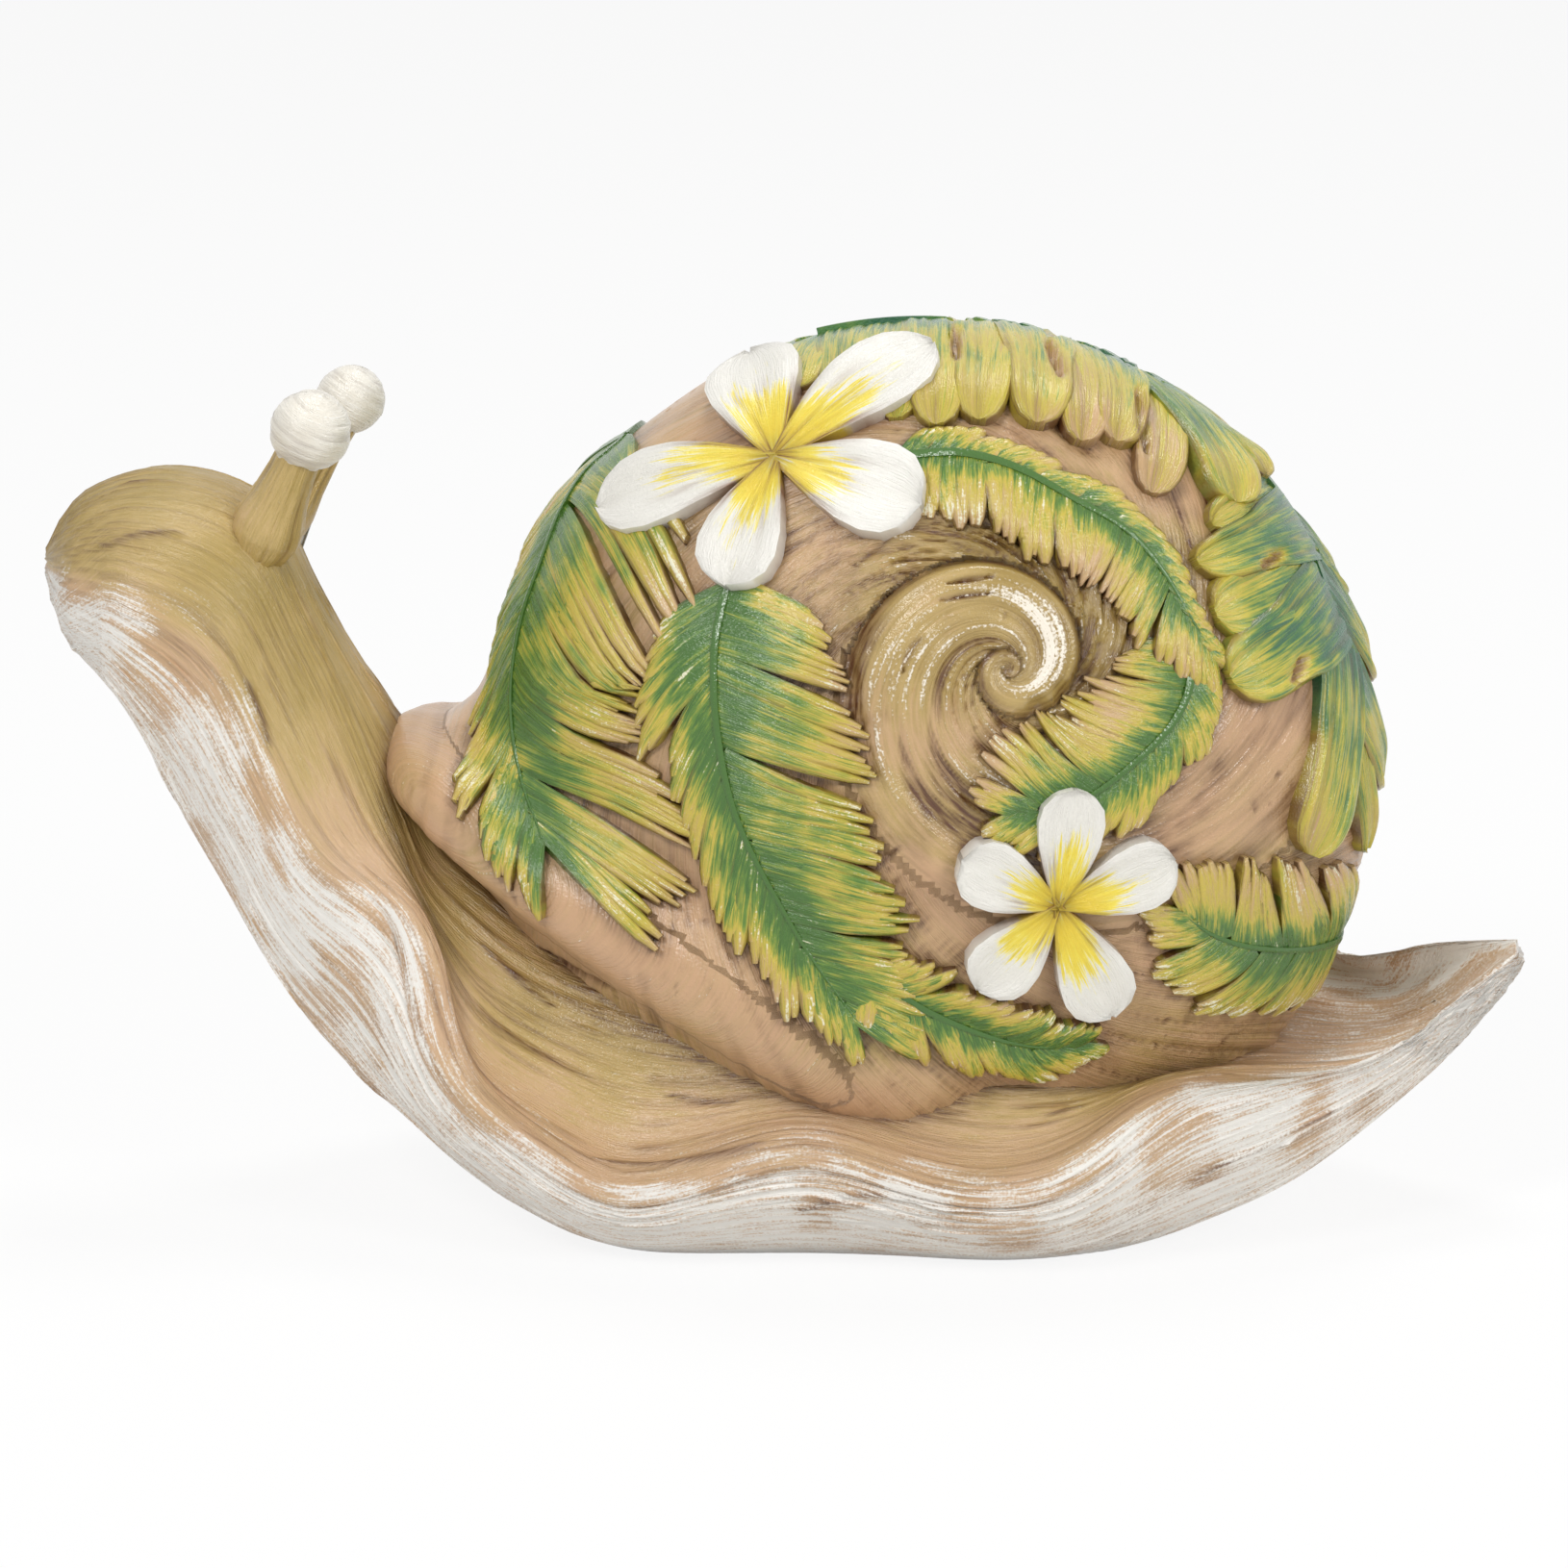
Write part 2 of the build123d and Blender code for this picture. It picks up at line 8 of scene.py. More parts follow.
import bmesh
import bpy
import numpy as np
from mathutils import Matrix, Vector


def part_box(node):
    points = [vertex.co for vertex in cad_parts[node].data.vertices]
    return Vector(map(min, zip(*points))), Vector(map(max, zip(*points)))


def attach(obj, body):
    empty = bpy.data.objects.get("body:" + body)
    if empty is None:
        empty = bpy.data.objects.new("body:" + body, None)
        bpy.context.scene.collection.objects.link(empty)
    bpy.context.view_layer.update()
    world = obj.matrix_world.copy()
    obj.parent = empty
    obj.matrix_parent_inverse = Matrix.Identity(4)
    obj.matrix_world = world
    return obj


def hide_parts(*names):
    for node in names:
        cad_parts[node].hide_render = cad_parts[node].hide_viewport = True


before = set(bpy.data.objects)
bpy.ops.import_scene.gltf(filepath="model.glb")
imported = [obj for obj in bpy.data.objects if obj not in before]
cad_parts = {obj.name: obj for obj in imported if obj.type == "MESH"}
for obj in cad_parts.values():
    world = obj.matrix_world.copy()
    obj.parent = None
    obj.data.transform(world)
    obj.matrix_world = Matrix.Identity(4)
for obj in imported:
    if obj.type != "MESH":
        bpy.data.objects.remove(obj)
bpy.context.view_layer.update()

log = logging.getLogger("snail")

MM = 0.001
HASH_PRIMES = np.array((374761393, 668265263, 2147483647))
HASH_MIX = 1274126177
HASH_SEED = 7919
HASH_MASK = 0xFFFF
LINE_SAMPLES = 400
SHARP_DEGREES = 55
CAST_ROUNDS = 60
NOISE = "ShaderNodeTexNoise"
MATH = "ShaderNodeMath"
SPREAD = "ShaderNodeMapRange"
Pairs = tuple[tuple[float, float], ...]
Inputs = dict[int | str, object]
Step = tuple[str, str, int | str, Inputs, dict[str, object]]


class Flank(Enum):
    """The two flanks of the snail, by the sign of Y."""

    LEFT = -1
    RIGHT = 1

    @property
    def label(self) -> str:
        """The flank's name as the nodes write it."""
        return self.name.lower()


def linear_colour(code: str) -> tuple[float, float, float, float]:
    """Turns an sRGB hex colour into linear light.

    Args:
        code: Colour as "#rrggbb".

    Returns:
        Red, green, blue and alpha, linear.
    """
    shares = [int(code[place : place + 2], 16) / 255 for place in (1, 3, 5)]
    lit = [s / 12.92 if s <= 0.04045 else ((s + 0.055) / 1.055) ** 2.4 for s in shares]
    return lit[0], lit[1], lit[2], 1.0


def between(first: float, second: float, share: float) -> float:
    """Value that lies share of the way from first to second."""
    return first + (second - first) * share


def smooth_step(low: float, high: float, value: np.ndarray) -> np.ndarray:
    """Rises softly from 0 at low to 1 at high."""
    share = np.clip((value - low) / (high - low), 0, 1)
    return share * share * (3 - 2 * share)


def lattice_noise(points: np.ndarray, seed: int) -> np.ndarray:
    """Smooth repeatable noise on a unit lattice.

    Args:
        points: Rows of two or three coordinates, in lattice units.
        seed: Number that picks the pattern.

    Returns:
        One value from 0 to 1 for each row.
    """
    cell = np.floor(points).astype(np.int64)
    part = points - cell
    part = part * part * (3 - 2 * part)
    total = np.zeros(len(points))
    for corner in itertools.product((0, 1), repeat=points.shape[1]):
        weight = np.prod(np.where(np.array(corner) == 1, part, 1 - part), axis=1)
        code = (cell + np.array(corner)) @ HASH_PRIMES[: points.shape[1]] + seed * HASH_SEED
        code = (code ^ (code >> 13)) * HASH_MIX
        total += weight * (((code ^ (code >> 16)) & HASH_MASK) / HASH_MASK)
    return total


def cubic_through(knots: np.ndarray, values: np.ndarray, at: np.ndarray) -> np.ndarray:
    """Natural cubic curve through given values.

    Args:
        knots: Rising places of the values.
        values: One row of values for each knot.
        at: Places to read the curve at.

    Returns:
        One row of values for each place.
    """
    count, gaps = len(knots), np.diff(knots)
    matrix, slopes = np.eye(count), np.zeros_like(values)
    for i in range(1, count - 1):
        matrix[i, i - 1 : i + 2] = gaps[i - 1], 2 * (gaps[i - 1] + gaps[i]), gaps[i]
        slopes[i] = (values[i + 1] - values[i]) / gaps[i] - (values[i] - values[i - 1]) / gaps[i - 1]
    bend = np.linalg.solve(matrix, 6 * slopes)
    i = np.clip(np.searchsorted(knots, at, side="right") - 1, 0, count - 2)
    gap = gaps[i][:, None]
    first = (knots[i + 1] - at)[:, None] / gap
    second = 1 - first
    bent = (first**3 - first) * bend[i] + (second**3 - second) * bend[i + 1]
    return first * values[i] + second * values[i + 1] + bent * gap**2 / 6


def curve_at(pairs: Pairs, at: np.ndarray) -> np.ndarray:
    """Reads a smooth curve through pairs of place and value."""
    table = np.array(pairs)
    return cubic_through(table[:, 0], table[:, 1:], at)[:, 0]


def run_lengths(points: np.ndarray) -> np.ndarray:
    """Length of the way from the first point to each point of a line."""
    return np.concatenate(([0], np.cumsum(np.linalg.norm(np.diff(points, axis=0), axis=1))))


def even_line(points: np.ndarray, step: float) -> np.ndarray:
    """A smooth line through points, cut into steps of one length.

    Args:
        points: Points that the line goes through.
        step: Length of a step.

    Returns:
        Points along the line.
    """
    knots = run_lengths(points)
    fine = cubic_through(knots, points, np.linspace(0, knots[-1], LINE_SAMPLES))
    run = run_lengths(fine)
    wanted = np.linspace(0, run[-1], max(4, round(run[-1] / step) + 1))
    return np.stack([np.interp(wanted, run, fine[:, axis]) for axis in range(points.shape[1])], axis=1)


def line_distance(points: np.ndarray, line: np.ndarray) -> np.ndarray:
    """Distance of flat points from a line of straight runs.

    Args:
        points: Rows of two coordinates.
        line: Corners of the line.

    Returns:
        One distance for each point.
    """
    nearest = np.full(len(points), np.inf)
    for start, end in zip(line[:-1], line[1:]):
        run = end - start
        share = np.clip(((points - start) @ run) / max(run @ run, 1e-9), 0, 1)
        nearest = np.minimum(nearest, np.linalg.norm(points - start - share[:, None] * run, axis=1))
    return nearest


def unit(vectors: np.ndarray) -> np.ndarray:
    """Rows scaled to length 1."""
    return vectors / np.maximum(np.linalg.norm(vectors, axis=-1, keepdims=True), 1e-12)


def grid_quads(rows: int, columns: int, closed: bool = False) -> np.ndarray:
    """Corner numbers of the quads of a grid of points.

    Args:
        rows: Points along the grid.
        columns: Points across it.
        closed: Whether the last column joins the first.

    Returns:
        One row of four point numbers for each quad.
    """
    across = np.arange(columns if closed else columns - 1)
    row, column = (axis.ravel() for axis in np.meshgrid(np.arange(rows - 1), across, indexing="ij"))
    after = (column + 1) % columns
    here, beyond = row * columns, (row + 1) * columns
    return np.stack((here + column, here + after, beyond + after, beyond + column), axis=1)


def mesh_points(mesh: bpy.types.Mesh) -> np.ndarray:
    """A mesh's points in millimetres, one row each.

    Args:
        mesh: The mesh.

    Returns:
        One row of three coordinates for each point.
    """
    flat = np.zeros(len(mesh.vertices) * 3, np.float32)
    mesh.vertices.foreach_get("co", flat)
    return flat.reshape(-1, 3).astype(float) / MM


def move_points(mesh: bpy.types.Mesh, points: np.ndarray) -> None:
    """Sets a mesh's points, given in millimetres."""
    mesh.vertices.foreach_set("co", (points * MM).astype(np.float32).ravel())
    mesh.update()


def mesh_normals(mesh: bpy.types.Mesh) -> np.ndarray:
    """The outward direction at each point of a mesh.

    Args:
        mesh: The mesh.

    Returns:
        One unit row for each point.
    """
    flat = np.zeros(len(mesh.vertices) * 3, np.float32)
    mesh.vertex_normals.foreach_get("vector", flat)
    return flat.reshape(-1, 3).astype(float)


def write_attribute(mesh: bpy.types.Mesh, name: str, values: np.ndarray) -> None:
    """Stores one number or one vector for each point of a mesh.

    Args:
        mesh: The mesh.
        name: Name of the attribute.
        values: A number or a row for each point.
    """
    kind, key = ("FLOAT", "value") if values.ndim == 1 else ("FLOAT_VECTOR", "vector")
    attribute = mesh.attributes.get(name) or mesh.attributes.new(name, kind, "POINT")
    attribute.data.foreach_set(key, values.astype(np.float32).ravel())


def read_attribute(mesh: bpy.types.Mesh, name: str) -> np.ndarray:
    """Reads one number for each point of a mesh.

    Args:
        mesh: The mesh.
        name: Name of the attribute.

    Returns:
        One number for each point.
    """
    values = np.zeros(len(mesh.vertices), np.float32)
    mesh.attributes[name].data.foreach_get("value", values)
    return values.astype(float)


def new_object(name: str, data: bpy.types.ID) -> bpy.types.Object:
    """An object for a mesh, a lamp or a camera, in the scene and at the origin.

    Args:
        name: Name of the object.
        data: What the object shows.

    Returns:
        The object.
    """
    thing = bpy.data.objects.new(name, data)
    bpy.context.scene.collection.objects.link(thing)
    return thing


def new_mesh(name: str, points: np.ndarray, faces: list[tuple[int, ...]]) -> bpy.types.Mesh:
    """A smooth-shaded mesh from points in millimetres and faces by point numbers.

    Args:
        name: Name of the mesh.
        points: Points in millimetres.
        faces: Point numbers of each face.

    Returns:
        The mesh.
    """
    mesh = bpy.data.meshes.new(name)
    mesh.from_pydata((points * MM).tolist(), [], faces)
    mesh.polygons.foreach_set("use_smooth", np.ones(len(mesh.polygons), bool))
    mesh.update()
    return mesh


def plan_mesh(name: str, points: np.ndarray, faces: list[list[int]]) -> bpy.types.Mesh:
    """A smooth-shaded closed mesh in a flat plan, with its faces turned outwards.

    Args:
        name: Name of the mesh.
        points: Points in the plan's own units.
        faces: Point numbers of each face.

    Returns:
        The mesh.
    """
    mesh = bpy.data.meshes.new(name)
    mesh.from_pydata(points.tolist(), [], faces)
    shaped = bmesh.new()
    shaped.from_mesh(mesh)
    bmesh.ops.recalc_face_normals(shaped, faces=shaped.faces[:])
    shaped.to_mesh(mesh)
    shaped.free()
    mesh.polygons.foreach_set("use_smooth", np.ones(len(mesh.polygons), bool))
    return mesh


def baked_mesh(thing: bpy.types.Object) -> bpy.types.Mesh:
    """A plain mesh of an object with its modifiers applied; the object is removed.

    Args:
        thing: Object with modifiers.

    Returns:
        The mesh, without the modifiers.
    """
    graph = bpy.context.evaluated_depsgraph_get()
    mesh = bpy.data.meshes.new_from_object(thing.evaluated_get(graph))
    bpy.data.objects.remove(thing)
    return mesh


def add_node(
    tree: bpy.types.NodeTree,
    kind: str,
    inputs: Inputs | None = None,
    stops: tuple[tuple[float, str], ...] = (),
    **settings: object,
) -> bpy.types.Node:
    """Adds a node with its settings and links.

    Args:
        tree: Tree that gets the node.
        kind: Blender's name of the node.
        inputs: Values, or other nodes' outputs, by input name or number.
        stops: Places and hex colours of a colour ramp.
        settings: Properties of the node.

    Returns:
        The node.
    """
    node = tree.nodes.new(kind)
    for name, value in settings.items():
        setattr(node, name, value)
    for key, value in (inputs or {}).items():
        if isinstance(value, bpy.types.NodeSocket):
            tree.links.new(value, node.inputs[key])
        else:
            node.inputs[key].default_value = value
    for number, (place, code) in enumerate(stops):
        elements = node.color_ramp.elements
        stop = elements[number] if number < 2 else elements.new(place)
        stop.position, stop.color = place, linear_colour(code)
    return node


@dataclass(frozen=True)
class View:
    """Where the figurine is seen from, and the scale of that picture."""

    azimuth: float = 3.0
    elevation: float = 14.0
    lens: float = 200.0
    sensor: float = 36.0
    picture: float = 1630.0
    pixel: float = 0.16276
    ground_row: float = 1238.0

    @property
    def back(self) -> np.ndarray:
        """Direction from the figurine to the camera."""
        turn, rise = math.radians(self.azimuth), math.radians(self.elevation)
        return np.array((math.sin(turn) * math.cos(rise), -math.cos(turn) * math.cos(rise), math.sin(rise)))

    @property
    def right(self) -> np.ndarray:
        """Direction to the right of the picture."""
        turn = math.radians(self.azimuth)
        return np.array((math.cos(turn), math.sin(turn), 0.0))

    @property
    def up(self) -> np.ndarray:
        """Direction to the top of the picture."""
        return np.cross(self.back, self.right)

    @property
    def distance(self) -> float:
        """Distance of the camera from the middle of the picture, in millimetres."""
        return self.lens / self.sensor * self.picture * self.pixel

    @property
    def target(self) -> np.ndarray:
        """Point in the middle of the picture."""
        return self.up * ((self.ground_row - self.picture / 2) * self.pixel)

    @property
    def eye(self) -> np.ndarray:
        """Place of the camera."""
        return self.target + self.back * self.distance

    def seen(self, points: np.ndarray) -> np.ndarray:
        """Pixel places of points, taking those of the right flank as their mirror images.

        Args:
            points: Points in millimetres.

        Returns:
            Column and row of each point in the picture.
        """
        near = points * (1, 0, 1) - np.abs(points * (0, 1, 0)) - self.target
        scale = self.distance / (self.distance - near @ self.back) / self.pixel
        middle = self.picture / 2
        return np.stack((middle + (near @ self.right) * scale, middle - (near @ self.up) * scale), axis=1)

    def rays(self, pixels: np.ndarray) -> np.ndarray:
        """Directions from the camera through pixels.

        Args:
            pixels: Column and row of each pixel.

        Returns:
            Unit rows.
        """
        flat = (pixels - self.picture / 2) * self.pixel
        aims = self.target + flat[:, :1] * self.right - flat[:, 1:] * self.up
        return unit(aims - self.eye)


VIEW = View()


@dataclass(frozen=True)
class ResinPaint:
    """Acrylic paint brushed by hand over cast polyresin.

    The brush leaves streaks along its strokes, thin brown washes stay in the hollows, and a pale colour,
    drybrushed, catches on the ridges. The same brown also paints shade beside and beneath the pieces, and
    the same pale colour paints highlights. The dried paint has a satin gloss.
    """

    name: str
    stops: tuple[tuple[float, str], ...]
    wash: str = "#5a3519"
    highlight: str = "#efe9dd"
    roughness: float = 0.36
    stroke_width: float = 1.3
    stroke_length: float = 14.0
    unevenness: float = 0.35
    dry_edge: float = 0.10
    relief: float = 0.32
    coat: float = 0.35
    grit: float = 0.45
    blotch: float = 11.0

    def steps(self) -> tuple[Step, ...]:
        """Sets out the paint's nodes as rows, in the order in which they feed each other.

        Returns:
            Name, kind, output, inputs and settings of each node. An input that is a name is an earlier row.
        """
        across = 1 / self.stroke_width
        stroke_scale = (1 / self.stroke_length, across, across)
        hair_scale = (2 / self.stroke_length, 3.2 * across, across)
        edges = {"From Min": 0.5 - self.dry_edge, "From Max": 0.5 + self.dry_edge}
        held = {"From Min": 0.3, "From Max": 0.7, "To Min": 0.5, "To Max": 1.2}
        sheen = {"From Min": 0.25, "From Max": 1.0, "To Min": -0.08, "To Max": 0.14}
        add, times = {"operation": "ADD"}, {"operation": "MULTIPLY"}
        times_add, soft = {"operation": "MULTIPLY_ADD"}, {"interpolation_type": "SMOOTHSTEP"}
        masks = tuple(
            (name, "ShaderNodeAttribute", output, {}, {"attribute_name": name})
            for name, output in (("flow", "Vector"), ("tone", "Fac"), ("wash", "Fac"), ("dry", "Fac"))
        )
        noises = (
            ("place", "ShaderNodeTexCoord", "Object", {}, {}),
            ("stroke_place", "ShaderNodeMapping", 0, {"Vector": "flow", "Scale": stroke_scale}, {}),
            ("hair_place", "ShaderNodeMapping", 0, {"Vector": "flow", "Scale": hair_scale}, {}),
            ("stroke", NOISE, 0, {"Vector": "stroke_place", "Scale": 1.0, "Detail": 4.0}, {}),
            ("hair", NOISE, 0, {"Vector": "hair_place", "Scale": 1.0, "Detail": 3.0}, {}),
            ("blotch", NOISE, 0, {"Vector": "place", "Scale": 1 / (self.blotch * MM), "Detail": 3.0}, {}),
            ("grit", NOISE, 0, {"Vector": "place", "Scale": 1 / (self.grit * MM), "Detail": 1.0}, {}),
        )
        swings = tuple(
            (f"{name}_swing", MATH, 0, {0: name, 1: 0.5}, {"operation": "SUBTRACT"})
            for name in ("stroke", "hair", "blotch", "grit")
        )
        stain_and_shade = {"Factor": "washed_and_shaded", 6: "base", 7: linear_colour(self.wash)}
        brushed = {"Factor": "caught_and_highlighted", 6: "stained_and_shaded", 7: linear_colour(self.highlight)}
        # The brown mix carries washes and painted shade; the pale mix carries drybrushing and painted
        # highlights.
        layers = (
            ("sweep", MATH, 0, {0: "stroke_swing", 1: "blotch_swing"}, add),
            ("lift", MATH, 0, {0: "hair_swing", 1: 1.2, 2: "sweep"}, times_add),
            ("shade", MATH, 0, {0: "lift", 1: 2 * self.unevenness, 2: "tone"}, times_add),
            ("base", "ShaderNodeValToRGB", "Color", {"Fac": "shade"}, {"stops": self.stops}),
            ("hold", SPREAD, "Result", {"Value": "hair", **held}, soft),
            ("washed_and_shaded", MATH, 0, {0: "wash", 1: "hold"}, times),
            ("stained_and_shaded", "ShaderNodeMix", 2, stain_and_shade, {"data_type": "RGBA", "clamp_factor": True}),
            ("bristle", MATH, 0, {0: "hair_swing", 1: 1.1, 2: "stroke_swing"}, times_add),
            ("rough", MATH, 0, {0: "grit_swing", 1: 0.5, 2: "dry"}, times_add),
            ("catch", MATH, 0, {0: "bristle", 1: 0.7, 2: "rough"}, times_add),
            ("caught_and_highlighted", SPREAD, "Result", {"Value": "catch", "To Min": 0.0, "To Max": 1.0, **edges}, soft),
            ("colour", "ShaderNodeMix", 2, brushed, {"data_type": "RGBA"}),
            ("grain", MATH, 0, {0: "grit", 1: 0.35}, times),
            ("height", MATH, 0, {0: "hair", 1: 0.8, 2: "grain"}, times_add),
            ("pale", MATH, 0, {0: "caught_and_highlighted", 1: 0.4}, times),
            ("worn", MATH, 0, {0: "stroke", 1: "pale"}, add),
            ("gloss", SPREAD, "Result", {"Value": "worn", **sheen}, soft),
            ("roughness", MATH, 0, {0: "gloss", 1: self.roughness}, add),
        )
        bump = {"Height": "height", "Distance": self.relief * MM, "Strength": 0.9}
        surface = {
            "Base Color": "colour",
            "Roughness": "roughness",
            "Normal": "bump",
            "IOR": 1.5,
            "Coat Weight": self.coat,
            "Coat Roughness": 0.14,
            "Coat Normal": "bump",
        }
        dried = (
            ("bump", "ShaderNodeBump", "Normal", bump, {}),
            ("surface", "ShaderNodeBsdfPrincipled", 0, surface, {}),
        )
        return masks + noises + swings + layers + dried

    def material(self) -> bpy.types.Material:
        """Builds the paint's nodes, or returns the material if it is there already.

        Returns:
            The material, which reads the attributes tone, wash, dry and flow.
        """
        known = bpy.data.materials.get(self.name)
        if known:
            return known
        paint = bpy.data.materials.new(self.name)
        paint.use_nodes = True
        tree = paint.node_tree
        tree.nodes.clear()
        made: dict[str, bpy.types.NodeSocket] = {}
        for name, kind, output, inputs, settings in self.steps():
            linked = {key: made[value] if isinstance(value, str) else value for key, value in inputs.items()}
            made[name] = add_node(tree, kind, linked, **settings).outputs[output]
        add_node(tree, "ShaderNodeOutputMaterial", {"Surface": made["surface"]})
        return paint


# Polyresin in skin tan, glazed with ochre and brushed white: streaked, satin, brown in every groove
BODY_PAINT = ResinPaint(
    "painted_resin_body",
    ((0.0, "#cca883"), (0.35, "#caa97c"), (0.62, "#c0a468"), (1.0, "#ab924f")),
    highlight="#f3efe8",
    stroke_width=0.9,
    stroke_length=8.0,
    unevenness=0.32,
    dry_edge=0.18,
)
# Polyresin in tan with an ochre glaze on the coil: smooth between the leaves, combed on the coil
SHELL_PAINT = ResinPaint(
    "painted_resin_shell",
    ((0.0, "#cba37d"), (0.35, "#c9a67a"), (0.65, "#bba063"), (1.0, "#a08642")),
    highlight="#f1e8d8",
    stroke_width=1.2,
    stroke_length=16.0,
    unevenness=0.30,
)
# Palm leaf green over the midrib that fades through yellow-green and gold to bare tan at the tips
FROND_PAINT = ResinPaint(
    "painted_resin_frond",
    (
        (0.0, "#406a22"),
        (0.16, "#5d812a"),
        (0.32, "#929a34"),
        (0.5, "#c4b140"),
        (0.74, "#c2a856"),
        (1.0, "#c9a67a"),
    ),
    wash="#54371a",
    highlight="#e9e6c9",
    roughness=0.30,
    stroke_width=0.8,
    stroke_length=7.0,
    unevenness=0.42,
    blotch=8.0,
)
# Blue-green leaf paint over the crest, thinned to yellow-green and gold on the lobes
CREST_PAINT = ResinPaint(
    "painted_resin_crest_leaf",
    (
        (0.0, "#2f6446"),
        (0.18, "#4c7b3c"),
        (0.36, "#93a03c"),
        (0.54, "#c8b840"),
        (0.84, "#bfa750"),
        (1.0, "#c6a272"),
    ),
    wash="#5c3a1c",
    highlight="#dfe0b4",
    roughness=0.32,
    stroke_width=0.9,
    stroke_length=9.0,
    unevenness=0.40,
    blotch=9.0,
)
# White petal paint with a yellow throat, brushed thinly so that tan stays in the creases
PETAL_PAINT = ResinPaint(
    "painted_resin_petal",
    ((0.0, "#e6c936"), (0.34, "#ecd84a"), (0.46, "#eee4a0"), (0.54, "#e4e1d7"), (1.0, "#e6e3db")),
    wash="#7d4f26",
    highlight="#f0eee8",
    roughness=0.40,
    stroke_width=0.8,
    stroke_length=9.0,
    unevenness=0.42,
)
# Off-white paint stippled on the eyes, with a little tan showing through
EYE_PAINT = ResinPaint(
    "painted_resin_eye",
    ((0.0, "#cbb08c"), (0.3, "#e3dccd"), (1.0, "#edeae2")),
    highlight="#f7f5f0",
    roughness=0.45,
    stroke_width=1.0,
    stroke_length=6.0,
    unevenness=0.22,
)


def paint_mesh(
    mesh: bpy.types.Mesh,
    paint: ResinPaint,
    tone: np.ndarray,
    wash: np.ndarray,
    dry: np.ndarray,
    flow: np.ndarray,
) -> None:
    """Dresses a mesh in a paint.

    Args:
        mesh: Mesh to dress.
        paint: Its paint.
        tone: Place on the paint's colours, for each point.
        wash: Share of brown, for each point: washes in hollows, and painted shade beside and beneath pieces.
        dry: Share of pale colour, for each point: drybrushing on ridges, and painted highlights.
        flow: Place along, across and through the brush strokes, in millimetres.
    """
    for name in [a.name for a in mesh.attributes if a.domain == "POINT" and not a.is_required]:
        mesh.attributes.remove(mesh.attributes[name])
    for name, values in (("tone", tone), ("wash", wash), ("dry", dry), ("flow", flow)):
        write_attribute(mesh, name, values)
    mesh.materials.clear()
    mesh.materials.append(paint.material())


def place_piece(mesh: bpy.types.Mesh, name: str, slot: str, *nodes: str) -> bpy.types.Object:
    """Puts a finished mesh in the scene as a piece of the figurine.

    Args:
        mesh: The finished mesh.
        name: Name of the piece.
        slot: Name of a material slot; not used.
        nodes: CAD nodes that the piece stands for.

    Returns:
        The piece.
    """
    mesh.name = name
    mesh.set_sharp_from_angle(angle=math.radians(SHARP_DEGREES))
    piece = new_object(name, mesh)
    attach(piece, "root")
    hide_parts(*nodes)
    log.info("%s: %d points for %s", name, len(mesh.vertices), ", ".join(nodes))
    return piece


